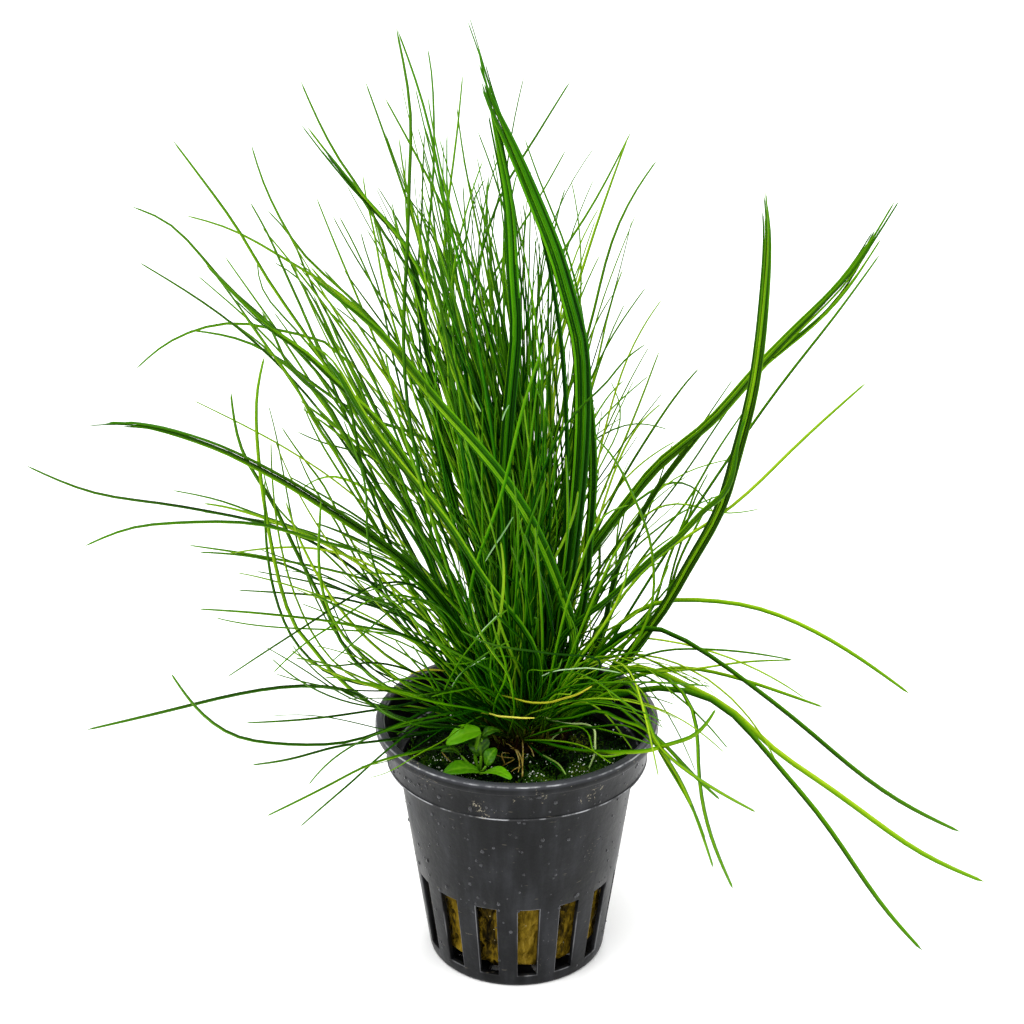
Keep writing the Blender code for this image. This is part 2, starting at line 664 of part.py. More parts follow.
def oval_leaf(name, start, tip, width, lean, finish, room):
    """A thin oval leaf that arches along its midrib, with its two sides raised from it."""
    start = Vector(start)
    along = Vector(tip) - start
    side = along.cross(Vector((0.0, 0.0, 1.0))).normalized()
    side = (side + Vector((0.0, 0.0, lean))).normalized()
    up = side.cross(along).normalized()
    vertices = []
    for row in range(BLADE_ROWS + 1):
        share = row / BLADE_ROWS
        fullness = math.sin(math.pi * (share * 0.9 + 0.06)) ** 0.75
        half = side * width / 2 * fullness
        middle = start + along * share + up * BLADE_ARCH * math.sin(math.pi * share)
        fold = up * half.length * BLADE_FOLD
        skin = up * BLADE_THICKNESS
        vertices += [middle - half + fold, middle, middle + half + fold,
                     middle + half + fold + skin, middle + up * RIB_THICKNESS, middle - half + fold + skin]
    ring = 6
    faces = [tuple(range(ring)), tuple(BLADE_ROWS * ring + index for index in reversed(range(ring)))]
    for row in range(BLADE_ROWS):
        low = row * ring
        for index in range(ring):
            after = (index + 1) % ring
            faces.append((low + after, low + index, low + ring + index, low + ring + after))
    shade(make_object(name, vertices, faces, finish), 50)
    room.add(np.array(vertices), 0.35)


def tuft(name, base, locks, finish, room):
    """A clump of stems whose top face is parted in wedges, and a lock that grows from each."""
    foot = CROWN_TOP + GAP
    top = foot + CLUMP_HEIGHT
    sides = len(locks)
    centre = Vector((*base, 0.0))
    first = [stand_at(outline[1], depth * 0.4)[:2] for depth, *outline in locks]
    headings = [math.atan2(spot[1] - base[1], spot[0] - base[0]) for spot in first]
    order = sorted(range(sides), key=lambda index: headings[index])
    turns = [headings[index] - 2 * math.pi * place / sides for place, index in enumerate(order)]
    start_turn = math.degrees(cmath.phase(sum(cmath.rect(1.0, turn) for turn in turns))) - 180 / sides
    vertices = []
    for radius, height in ((CLUMP_RADIUS * 0.85, foot), (CLUMP_RADIUS, top)):
        for corner in range(sides):
            vertices.append(centre + Vector(around(start_turn + corner * 360 / sides, radius, height)))
    middle = len(vertices)
    vertices.append(centre + Vector((0.0, 0.0, top + CLUMP_PEAK)))
    faces = [tuple(reversed(range(sides)))]
    owner = room.add([(*base, foot + 1.0), (*base, top)], CLUMP_RADIUS)
    for place in range(sides):
        after = (place + 1) % sides
        faces.append((place, after, sides + after, sides + place))
    for place, index in enumerate(order):
        depth, *outline = locks[index]
        after = (place + 1) % sides
        wedge = [middle, sides + place, sides + after]
        heart = sum((vertices[corner] for corner in wedge), Vector()) / 3
        shrunk = [heart + (vertices[corner] - heart) * LOCK_INSET for corner in wedge]
        width = 2 * sum((corner - heart).length for corner in shrunk) / 3
        line = find_room(room, heart, outline, depth, LOCK_STEPS, width, owner)
        grow_lock(vertices, faces, wedge, shrunk, line)
    shade(make_object(name, vertices, faces, finish), 50)


def grow_lock(vertices, faces, wedge, shrunk, line):
    """Inset a wedge of the clump's top and carry it along a line to a point."""
    across, out = carried_frames(line)
    heart = Vector(line[0])
    spread = [((corner - heart).dot(Vector(across[0])), (corner - heart).dot(Vector(out[0])))
              for corner in shrunk]
    below = wedge
    for index in range(len(line) - 1):
        scale = taper(index / (len(line) - 1))
        ring = []
        for a, b in spread:
            ring.append(len(vertices))
            spot = line[index] + across[index] * a * scale + out[index] * b * scale
            vertices.append(Vector(spot))
        if index == 0:
            for place, corner in enumerate(shrunk):
                vertices[ring[place]] = corner
        for place in range(3):
            after = (place + 1) % 3
            faces.append((below[place], below[after], ring[after], ring[place]))
        below = ring
    tip = len(vertices)
    vertices.append(Vector(line[-1]))
    faces += [(below[place], below[(place + 1) % 3], tip) for place in range(3)]


def ring_place(angle, radius):
    """A place on a ring round the middle of the crown."""
    x, y, z = around(angle, radius)
    return (CROWN_CENTRE[0] + x, CROWN_CENTRE[1] + y)


def grass(room):
    """All leaves: the wet strands first, then the tufts, each led clear of those before it."""
    dark = material("leaf_dark_green", (0.02, 0.15, 0.012), 0.45)
    green = material("leaf_green", (0.05, 0.26, 0.015), 0.5)
    for name, (angle, radius, width, depth, *outline) in STRANDS.items():
        root = (*ring_place(angle, radius), CROWN_TOP + GAP + width * 0.4)
        line = find_room(room, root, outline, depth, STRAND_STEPS, width)
        shade(make_object(name, *tube(line, width, 4), dark), 50)
    for index, (name, locks) in enumerate(INNER_LOCKS.items()):
        base = ring_place(45 + index * 360 / INNER_TUFTS, INNER_RING)
        tuft(name, base, locks, green, room)
    for index, (name, locks) in enumerate(OUTER_LOCKS.items()):
        base = ring_place(index * 360 / OUTER_TUFTS, OUTER_RING)
        tuft(name, base, locks, green, room)


def small_growth(room):
    """The runner, the roots and the dead leaves."""
    pale = material("runner_pale", (0.5, 0.55, 0.25), 0.5)
    beige = material("root_beige", (0.42, 0.3, 0.14), 0.7)
    straw = material("leaf_straw", (0.55, 0.36, 0.06), 0.6)
    width, *points = RUNNER
    stalk("runner", width, points, pale, room)
    for name, (width, *points) in ROOTS.items():
        stalk(name, width, points, beige, room, 6)
    for name, (width, *points) in DEAD_LEAVES.items():
        stalk(name, width, points, straw, room, 7)


def main():
    """Build the whole part."""
    clear_scene()
    room = Room()
    net_pot()
    plug()
    crown()
    room.add(moss(), 0.3)
    pot_room(room)
    seedling(room)
    small_growth(room)
    grass(room)


if __name__ == "__main__":
    main()
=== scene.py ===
"""Dwarf hairgrass in a slotted net pot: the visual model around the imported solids.

Lengths in the code are in millimetres; MM turns them to Blender's metres where a mesh is made.
"""

import math

import bmesh
import bpy
import numpy as np
from bpy.props import FloatProperty, FloatVectorProperty, IntProperty, PointerProperty
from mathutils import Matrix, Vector, noise


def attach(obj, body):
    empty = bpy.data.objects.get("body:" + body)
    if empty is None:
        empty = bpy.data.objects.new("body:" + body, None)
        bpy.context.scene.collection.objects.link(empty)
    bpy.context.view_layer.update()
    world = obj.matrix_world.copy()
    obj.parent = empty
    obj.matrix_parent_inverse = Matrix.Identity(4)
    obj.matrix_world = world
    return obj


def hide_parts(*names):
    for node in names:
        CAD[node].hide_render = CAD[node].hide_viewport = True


bl_info = {
    "name": "Potted hairgrass",
    "version": (1, 0, 0),
    "blender": (4, 5, 0),
    "location": "View3D > Sidebar > Hairgrass",
    "description": "Dwarf hairgrass that grows from a wool plug in a slotted net pot",
    "category": "Object",
}

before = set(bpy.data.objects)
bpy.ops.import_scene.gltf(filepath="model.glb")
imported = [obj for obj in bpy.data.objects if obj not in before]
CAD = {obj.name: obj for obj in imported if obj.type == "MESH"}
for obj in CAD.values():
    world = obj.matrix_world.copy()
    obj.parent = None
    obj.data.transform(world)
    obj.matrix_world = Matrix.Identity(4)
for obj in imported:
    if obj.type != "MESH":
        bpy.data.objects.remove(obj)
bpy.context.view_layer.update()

MM = 0.001

# Pot
POT_HEIGHT = 51.0
COLLAR_FOOT = 42.3
BODY_TOP_RADIUS = 23.3
BASE_RADIUS = 17.5
WALL = 1.0
FLOOR = 1.4
COLLAR_RADIUS = 25.36
COLLAR_FLARE = 0.187
SLOTS = 15
SLOT_TURN = 6.5
SLOT_HALF_WIDTH = 2.15
SLOT_BOTTOM = 2.6
SLOT_TOP = 19.2
SLOT_STEPS = 4
RIB_STEPS = 6
FLOOR_SLOTS = 10
FLOOR_SLOT = (6.0, 14.6, 2.4)

# Painted highlight lines on the lip and along the collar's foot: height and half width; round the slots:
# half width
PAINTED_HIGHLIGHT_LINES = ((50.62, 0.17), (42.62, 0.16))
SLOT_HIGHLIGHT_HALF_WIDTH = 0.17

# Plug and what lies on it
PLUG_TOP = 42.3
PLUG_RADIUS = 21.6
CROWN_CENTRE = (1.5, 8.0)
CROWN_RADIUS = 9.4
CROWN_FOOT = 42.6
CROWN_HEIGHT = 1.9

# Where a leaf is clear of the pot: above the wool inside the wall, and outside the lip
INSIDE_REACH = 21.5
WOOL_CLEAR = 43.2
LIP_REACH = 29.0

# Leaves: points along one, how far a tuft's foot reaches, and within how many pixels of a lock's tip a
# leaf of the photograph stands for it
LINE_POINTS = 24
CLUMP_REACH = 6.0
SHOWN_REACH = 32.0
TUFT_ORDER = ("tuft_right", "tuft_right_back", "tuft_back_right", "tuft_back", "tuft_back_left",
              "tuft_left_back", "tuft_left", "tuft_left_front", "tuft_front_left", "tuft_front_right",
              "tuft_right_front")
MIDDLE_TUFTS = ("tuft_middle_right_back", "tuft_middle_left_back", "tuft_middle_left_front",
                "tuft_middle_right_front")

# Leaves for each lock of a tuft, beside those read off the photograph
FILL = {"tuft_right": 8, "tuft_right_back": 14, "tuft_back_right": 5, "tuft_back": 13, "tuft_back_left": 6,
        "tuft_left_back": 5, "tuft_left": 6, "tuft_left_front": 3, "tuft_front_left": 17,
        "tuft_front_right": 13, "tuft_right_front": 9, "tuft_middle_right_back": 19,
        "tuft_middle_left_back": 37, "tuft_middle_left_front": 51, "tuft_middle_right_front": 24}
# From which to which share of its length a tuft's leaves end
USUAL_ENDS = (0.4, 0.92)
ENDS = {"tuft_left_back": (0.35, 0.72), "tuft_right_back": (0.35, 0.95),
        "tuft_middle_right_back": (0.55, 1.0), "tuft_middle_left_back": (0.3, 0.88),
        "tuft_middle_left_front": (0.25, 0.88), "tuft_middle_right_front": (0.34, 0.98)}

# Leaves that stand out in the photograph, from the inside to the tip, in its pixels
SEEN = """
602,682 640,627 664,606 675,574 695,529 713,495
591,668 622,640 650,613 664,574 681,529 699,481
581,654 605,623 629,578 654,550 675,535
595,661 626,634 647,613 668,588 681,574
577,640 591,606 605,574 622,543 643,522
584,668 612,654 636,634 661,606 702,602
567,606 581,564 595,529 609,512 629,505
588,627 609,599 636,574 664,561
598,668 619,647 643,630 661,613 671,592
574,668 598,634 615,606 626,578 629,554
596,728 619,734 640,740 653,744
296,320 268,279 240,232 206,184 172,139
266,320 226,284 193,246 165,221 130,206
249,320 219,279 190,243
228,320 180,287 137,261
249,320 223,297 196,274
287,345 268,317 246,286 224,255
358,308 316,277 279,255 244,235 214,223 184,215
359,305 321,271 296,244 282,221 264,183 251,143
325,365 307,320 284,269 269,236 249,200
331,320 306,271 292,239 266,209
336,320 314,291 291,262 261,226
324,320 299,279 272,261
287,320 262,287 257,256
360,309 337,284 321,267
361,305 350,279 330,231 316,196
388,319 371,281 355,246 338,214
386,320 380,292 368,257 360,229
393,320 383,281 373,226 366,196 363,173
388,262 366,198 346,169 300,79
426,284 406,246 355,186 306,125
411,271 386,236 363,199 316,139
423,256 409,206 399,176 383,130 365,80
481,284 466,254 446,213 411,145 384,96
404,330 408,242 410,176 411,115 396,26
459,259 446,206 438,166 428,121 409,60 397,28
428,244 434,166 434,110 430,60 427,45
438,300 428,267 414,217 406,183 399,136
419,259 422,217 423,176 425,131
444,276 446,226 449,198 457,135 463,73
502,201 491,166 477,129
459,242 466,213 474,186 484,158
487,227 480,206 472,179
459,259 467,236 472,206 487,176
479,276 484,236 487,204 489,173
476,281 491,222 507,184 529,148 560,98 572,79
491,281 516,236 542,193 567,148
559,228 544,191 524,136
516,259 526,228 522,200
530,320 539,304 552,272 581,224 632,130
540,400 556,352 577,288 598,222 629,135
560,420 575,375 592,320 613,240 640,185 658,159
591,380 611,339 647,286
588,400 606,383 625,360 647,343
748,431 788,376 832,320 881,253
670,548 723,513 790,452 867,382
651,547 669,525 689,499 710,463 748,406
666,600 673,570 684,534 694,502 709,472
653,600 654,570 650,540 632,493 609,452 594,436
601,436 615,429 636,424 669,430
608,452 617,434 620,406 610,380
688,505 723,513 760,509
673,600 701,600 745,605 789,619 870,665 910,694
668,650 701,649 752,653 793,660
650,672 684,670 735,663 793,660
672,668 718,673 769,688 823,707
661,629 701,649 752,685 803,725 854,768 904,803 961,832
650,668 683,683 728,707 769,744 820,781 870,817 921,852 985,882
655,688 718,703 752,734 786,774 820,815 853,862 887,910 923,951
640,700 654,737 678,764 718,791 756,812
636,690 651,734 668,761 701,832 713,868
655,672 686,697 698,764 712,839 733,889
271,525 223,514 159,503 96,493 25,465
383,560 306,537 268,526 231,522 175,523 132,528 83,547
297,528 263,516 225,502 171,490
374,583 344,573 303,564 261,556 188,545
402,626 377,606 345,591 313,577 286,565 198,552
401,634 369,628 334,622 295,617 256,613 198,609
374,586 353,596 318,618 270,649 226,678
388,596 369,601 336,623 306,643 272,674
396,606 379,620 363,634 330,663
402,668 369,663 336,666 308,664
386,688 353,674 323,663 295,658
376,707 358,694 336,676 320,656 298,630 286,603 270,534 257,426 258,390 265,355
419,697 394,691 369,674 349,653 326,608 300,558 268,494 246,458 231,391
441,693 402,681 374,664 353,646 323,591 320,520 321,500
404,721 376,707 361,696 336,688 300,686 220,698 175,709 86,730
436,706 411,719 381,732 353,741 313,745 270,743 242,738 204,715 171,673
444,693 419,701 376,710 336,716 286,721 245,723
441,731 411,736 379,741 336,747 295,758 252,765
427,750 402,755 369,765 339,780 300,800 267,816
419,726 401,739 377,759 354,780 325,805 300,827
352,481 336,453 314,420 300,393 263,341 241,310
369,517 347,484 331,459 316,433 303,404
407,526 389,501 366,469 344,433 321,396 293,371 273,332 261,310
356,378 343,355 331,345 289,332 240,323 190,332 166,344 135,370
414,433 377,421 334,398 289,365 245,341 190,330
306,381 283,363 260,343 213,310
382,521 372,492 362,464 349,403 321,350 303,310
401,476 389,443 377,413 348,360 326,310
404,408 386,376 367,351 336,310 300,268
392,423 377,386 364,355 349,332 328,310
356,549 336,509 323,484 304,459 281,426
389,476 377,461 348,449 319,441 296,431
367,524 366,489 356,453 343,418
354,555 333,517 313,486 298,454
343,570 318,546 293,524 271,497 263,469
445,560 420,480 400,420 385,350
560,600 520,480 470,380 440,300 418,250
470,600 500,500 520,420 545,340
540,560 500,450 470,330 455,270
600,560 585,470 575,400 590,330
430,540 455,430 480,330 500,270
492,708 472,710 457,712 431,717 405,723 380,733
455,727 439,727 421,725 403,720 382,710 374,703
478,687 462,690 445,693 431,697
470,722 460,716 441,706 427,698 404,691 388,687 370,674 346,660
468,721 454,710 427,697 397,678 383,667 370,656 345,640
440,694 433,692 420,688 404,681
443,694 441,691 425,664 412,644
440,700 435,689 417,665 395,640
443,694 445,689 459,662 474,642 490,624 508,609
466,721 453,706 451,694 454,685 460,675 472,664 487,653 510,641
492,713 478,683 472,670 462,660 446,648 430,630
495,715 504,683 506,665 500,646 492,620
525,739 537,741 562,747 596,751 636,751 648,750 668,744 692,736 706,724 716,709
534,729 556,719 579,716 601,711 620,720 636,725 653,735 690,772 720,800
560,712 585,704 610,702 630,716 648,732 659,750 690,804 705,840
545,728 574,722 593,706 613,697 634,687 655,680
548,722 570,706 583,702 604,713 620,732 632,749
540,726 565,724 592,727 630,727 652,743 672,760
545,731 570,727 595,728 613,732 634,738 650,744
520,690 540,676 562,670 583,668 608,670 619,673
597,659 556,654 533,651 510,648 482,641 460,630
590,738 593,750 602,756 613,756 627,753
530,742 543,756 556,766 567,775
595,752 602,757 611,763
"""

# Wet strands in the photograph: solid, width in millimetres, how pale, line in pixels from the inside
# to the tip
STRANDS = (
    ("strand_top", 3.9, 0.42,
     "580,470 583,420 583,383 580,339 570,301 557,255 543,219 524,173 501,122 485,85 475,45"),
    ("strand_top", 0.9, 0.3, "524,173 507,128 496,100 484,60 471,13"),
    ("strand_middle", 2.9, 0.36,
     "508,420 514,357 516,320 513,281 511,230 505,179 497,140 490,105 482,72"),
    ("strand_beside_top", 1.9, 0.35, "583,606 588,555 593,479 590,402 584,340"),
    ("strand_right", 2.6, 0.55,
     "626,657 669,600 691,561 709,531 723,502 735,460 749,409 760,345 766,283 768,227 764,186"),
    ("strand_right", 1.4, 0.55, "560,640 607,600 657,554 685,531 705,509 721,497 737,452 749,409"),
    ("strand_far_right", 2.3, 0.45,
     "585,560 600,537 635,493 651,472 685,443 705,427 752,375 807,318 841,283 893,201"),
    ("strand_far_right", 1.3, 0.5,
     "600,640 614,579 625,549 642,513 669,472 705,427 752,375 812,325 845,290 880,235"),
    ("strand_left", 2.3, 0.4,
     "402,559 372,537 333,511 296,487 260,467 228,451 190,437 153,427 120,423 89,424"),
    ("strand_cross_wide", 2.5, 0.7,
     "575,639 565,601 530,519 479,448 428,391 376,329 334,295 306,270"),
    ("strand_cross_wide", 1.2, 0.6,
     "450,524 422,484 397,446 376,418 334,380 306,353 273,330 240,300 205,262"),
    ("strand_cross_slim", 1.3, 0.65,
     "540,665 522,626 491,588 453,530 402,466 351,394 322,355 300,345"),
    ("strand_top_left", 1.3, 0.35, "420,300 406,246 380,215 345,178 318,143 306,126"),
)

# Leaves that end low on the right or high on the left of the photograph, and how much wider they are
LOW_RIGHT = 690
LOW_RIGHT_WIDER = 1.5
HIGH_LEFT = 335
HIGH_LEFT_WIDER = 1.15

# What no leaf may hide, as left, top, right and bottom in the photograph, and how high a leaf may reach
MOSS_VIEW = (432, 744, 612, 792)
RUNNER_VIEW = (548, 714, 618, 792)
POT_VIEW = (392, 790, 642, math.inf)
HIGHEST_TIP = 26

# The long runner in the photograph, and its short arms and green leaves: x, y and height of each point
RUNNER = ("540,716 547,718 555,721 562,723 574,724 584,724 592,727 595,733 595,742 595,752 "
          "592,761 588,771")
RUNNER_ARMS = (((560, 724, 48.6), (561, 730, 47.5), (555, 736, 46.2), (550, 742, 45.0)),
               ((543, 713, 46.0), (536, 708, 46.5), (531, 703, 47.2)),
               ((543, 755, 44.4), (552, 760, 45.4), (561, 767, 45.6), (566, 775, 44.8)),
               ((595, 752, 47.0), (604, 756, 47.6), (616, 755, 48.0), (627, 753, 48.0)))

# Thin roots beside each solid one: x, y and height of each point
ROOTS = {
    "root_long": (((522, 738, 45.0), (523, 755, 46.2), (522, 778, 44.6)),
                  ((510, 748, 44.0), (521, 757, 46.0), (523, 777, 44.8)),
                  ((516, 739, 44.6), (503, 735, 45.4), (482, 732, 46.0)),
                  ((540, 716, 45.0), (548, 719, 46.0), (560, 722, 46.4)),
                  ((523, 742, 44.0), (531, 749, 44.2), (534, 757, 43.8))),
    "root_short": (((490, 739, 44.0), (503, 742, 44.8), (515, 750, 45.2), (521, 760, 45.0)),
                   ((494, 754, 43.8), (503, 757, 44.4), (514, 758, 44.4)),
                   ((502, 766, 44.0), (508, 763, 44.5), (515, 759, 44.6)),
                   ((511, 772, 44.0), (517, 768, 44.6), (522, 767, 44.6)),
                   ((500, 724, 44.8), (505, 730, 45.4), (511, 737, 44.8)),
                   ((441, 751, 44.2), (446, 757, 44.8), (452, 763, 44.4))),
}

# Dead leaves in the photograph, and thin leaves painted pale as highlights, with how far in front of the
# pot's axis each lies
DEAD_LEAVES = {
    "dead_leaf_arched": "500,695 516,699 527,702 540,703 552,702 562,699 573,696 582,692 592,686",
    "dead_leaf_left": "446,671 436,670 426,670 416,672 408,675",
    "dead_leaf_low": "481,713 491,714 498,716 509,717 522,718 535,718",
}
HIGHLIGHT_LEAVES = ((-17, "542,676 551,672 561,670 573,669 584,668 597,669 610,671 621,673"),
                   (-14, "513,517 507,527 500,538 492,550 485,562"),
                   (-11, "509,405 505,412 502,421"),
                   (-11, "472,395 476,403 481,412"),
                   (-17, "499,613 491,622 483,630 476,638"),
                   (-15, "452,686 459,676 466,669 476,663 486,657"),
                   (-12, "424,398 429,407 433,415"))

# Camera: what it looks at, how far it stands, how many degrees it looks down, its lens and its sensor,
# how many pixels wide the photograph is, and how many pixels away its lens stands
LOOK_AT = (-0.96, 0.0, 93.7)
LOOK_DISTANCE = 400.0
LOOK_DOWN = 23.2
LENS = 75.445
SENSOR = 36.0
PICTURE = 1024
FOCUS = LENS / SENSOR * PICTURE


def linear(code):
    """An sRGB colour, written as hex, as linear red, green, blue and alpha."""
    parts = [int(code[i:i + 2], 16) / 255 for i in (1, 3, 5)]
    return tuple(p / 12.92 if p <= 0.04045 else ((p + 0.055) / 1.055) ** 2.4 for p in parts) + (1.0,)


def per_mm(size):
    """The scale of a pattern on object coordinates whose features are a size in millimetres."""
    return 1.0 / (size * MM)


def add(tree, kind, values=None, links=None, stops=None, **settings):
    """Add a node with its settings, its socket values, what feeds it and its ramp's stops."""
    node = tree.nodes.new(kind)
    for key, value in settings.items():
        setattr(node, key, value)
    for key, value in (values or {}).items():
        node.inputs[key].default_value = value
    for key, source in (links or {}).items():
        tree.links.new(source, node.inputs[key])
    if stops:
        ramp = node.color_ramp
        while len(ramp.elements) < len(stops):
            ramp.elements.new(0.5)
        for element, (place, code) in zip(ramp.elements, stops):
            element.position = place
            element.color = linear(code)
    return node


def start_finish(name, roughness, **sockets):
    """A new material with its tree, its shader and the piece's own coordinates."""
    material = bpy.data.materials.new(name)
    material.use_nodes = True
    tree = material.node_tree
    shader = tree.nodes["Principled BSDF"]
    shader.inputs["Roughness"].default_value = roughness
    for key, value in sockets.items():
        shader.inputs[key.replace("_", " ")].default_value = value
    place = add(tree, "ShaderNodeTexCoord").outputs["Object"]
    return material, tree, shader, place


def reach_of(tree, place):
    """How far a spot is from the pot's axis."""
    flat = add(tree, "ShaderNodeVectorMath", {1: (1.0, 1.0, 0.0)}, {0: place}, operation="MULTIPLY")
    reach = add(tree, "ShaderNodeVectorMath", links={0: flat.outputs["Vector"]}, operation="LENGTH")
    return reach.outputs["Value"]


def grit_and_scuffs(tree, place, height):
    """How much a spot of the pot shows grit or a scratch: specks of a fifth of a millimetre, thick on the
    collar and thin lower down, and short slanting scratches."""
    grit = add(tree, "ShaderNodeTexNoise", {"Scale": per_mm(0.55), "Detail": 3.0, "Roughness": 0.7},
               {"Vector": place})
    patch = add(tree, "ShaderNodeTexNoise", {"Scale": per_mm(7.0), "Detail": 2.0}, {"Vector": place})
    collar = add(tree, "ShaderNodeMapRange", {"From Min": 38.0 * MM, "From Max": 44.0 * MM,
                                              "To Min": -0.06, "To Max": 0.03}, {"Value": height})
    level = add(tree, "ShaderNodeMath", links={0: grit.outputs["Fac"], 1: collar.outputs[0]},
                operation="ADD")
    level = add(tree, "ShaderNodeMath", links={0: patch.outputs["Fac"], 1: level.outputs[0]},
                operation="MULTIPLY")
    speck = add(tree, "ShaderNodeMapRange", {"From Min": 0.405, "From Max": 0.43},
                {"Value": level.outputs[0]})
    slanted = add(tree, "ShaderNodeMapping", {"Rotation": (0.3, 0.9, 0.3), "Scale": (0.3, 0.3, 1.6)},
                  {"Vector": place})
    scuff = add(tree, "ShaderNodeTexNoise", {"Scale": per_mm(0.8), "Detail": 3.0},
                {"Vector": slanted.outputs["Vector"]})
    scratch = add(tree, "ShaderNodeMapRange", {"From Min": 0.7, "From Max": 0.76, "To Max": 0.4},
                  {"Value": scuff.outputs["Fac"]})
    return add(tree, "ShaderNodeMath", links={0: speck.outputs[0], 1: scratch.outputs[0]},
               operation="MAXIMUM")


def past_slot_edge(tree, split):
    """How far a spot of the wall lies outside the nearest slot's edge."""
    turn = add(tree, "ShaderNodeMath", links={0: split.outputs["Y"], 1: split.outputs["X"]},
               operation="ARCTAN2")
    turned = add(tree, "ShaderNodeMath", {1: math.radians(90 - SLOT_TURN)}, {0: turn.outputs[0]},
                 operation="ADD")
    nearest = add(tree, "ShaderNodeMath", {1: math.pi / SLOTS, 2: -math.pi / SLOTS},
                  {0: turned.outputs[0]}, operation="WRAP")
    aside = add(tree, "ShaderNodeMath", links={0: nearest.outputs[0]}, operation="ABSOLUTE")
    beyond = add(tree, "ShaderNodeMath", {1: wall_radius(SLOT_TOP) * MM, 2: -SLOT_HALF_WIDTH * MM},
                 {0: aside.outputs[0]}, operation="MULTIPLY_ADD")
    rise = add(tree, "ShaderNodeMath", {1: (SLOT_TOP + SLOT_BOTTOM) / 2 * MM}, {0: split.outputs["Z"]},
               operation="SUBTRACT")
    apart = add(tree, "ShaderNodeMath", links={0: rise.outputs[0]}, operation="ABSOLUTE")
    above = add(tree, "ShaderNodeMath", {1: (SLOT_TOP - SLOT_BOTTOM) / 2 * MM}, {0: apart.outputs[0]},
                operation="SUBTRACT")
    return add(tree, "ShaderNodeMath", links={0: beyond.outputs[0], 1: above.outputs[0]},
               operation="MAXIMUM")


def on_outer_face(tree, place, height):
    """How strongly the painted highlight round the slots shows: in part on the wall's outside, and not at
    all on the slots' own walls."""
    slope = (BODY_TOP_RADIUS - BASE_RADIUS) / COLLAR_FOOT
    wall = add(tree, "ShaderNodeMath", {1: slope, 2: BASE_RADIUS * MM}, {0: height},
               operation="MULTIPLY_ADD")
    depth = add(tree, "ShaderNodeMath", links={0: wall.outputs[0], 1: reach_of(tree, place)},
                operation="SUBTRACT")
    return add(tree, "ShaderNodeMapRange", {"From Min": 0.3 * MM, "From Max": 0.12 * MM, "To Max": 0.4},
               {"Value": depth.outputs[0]})


def painted_highlight_line(tree, off, half, wet):
    """How much a broken painted highlight line shows where a spot is less than half its width off its
    middle.
    """
    far = add(tree, "ShaderNodeMath", links={0: off.outputs[0]}, operation="ABSOLUTE")
    line = add(tree, "ShaderNodeMapRange", {"From Min": half * MM, "From Max": half * 0.4 * MM},
               {"Value": far.outputs[0]})
    return add(tree, "ShaderNodeMath", links={0: line.outputs[0], 1: wet.outputs[0]}, operation="MULTIPLY")


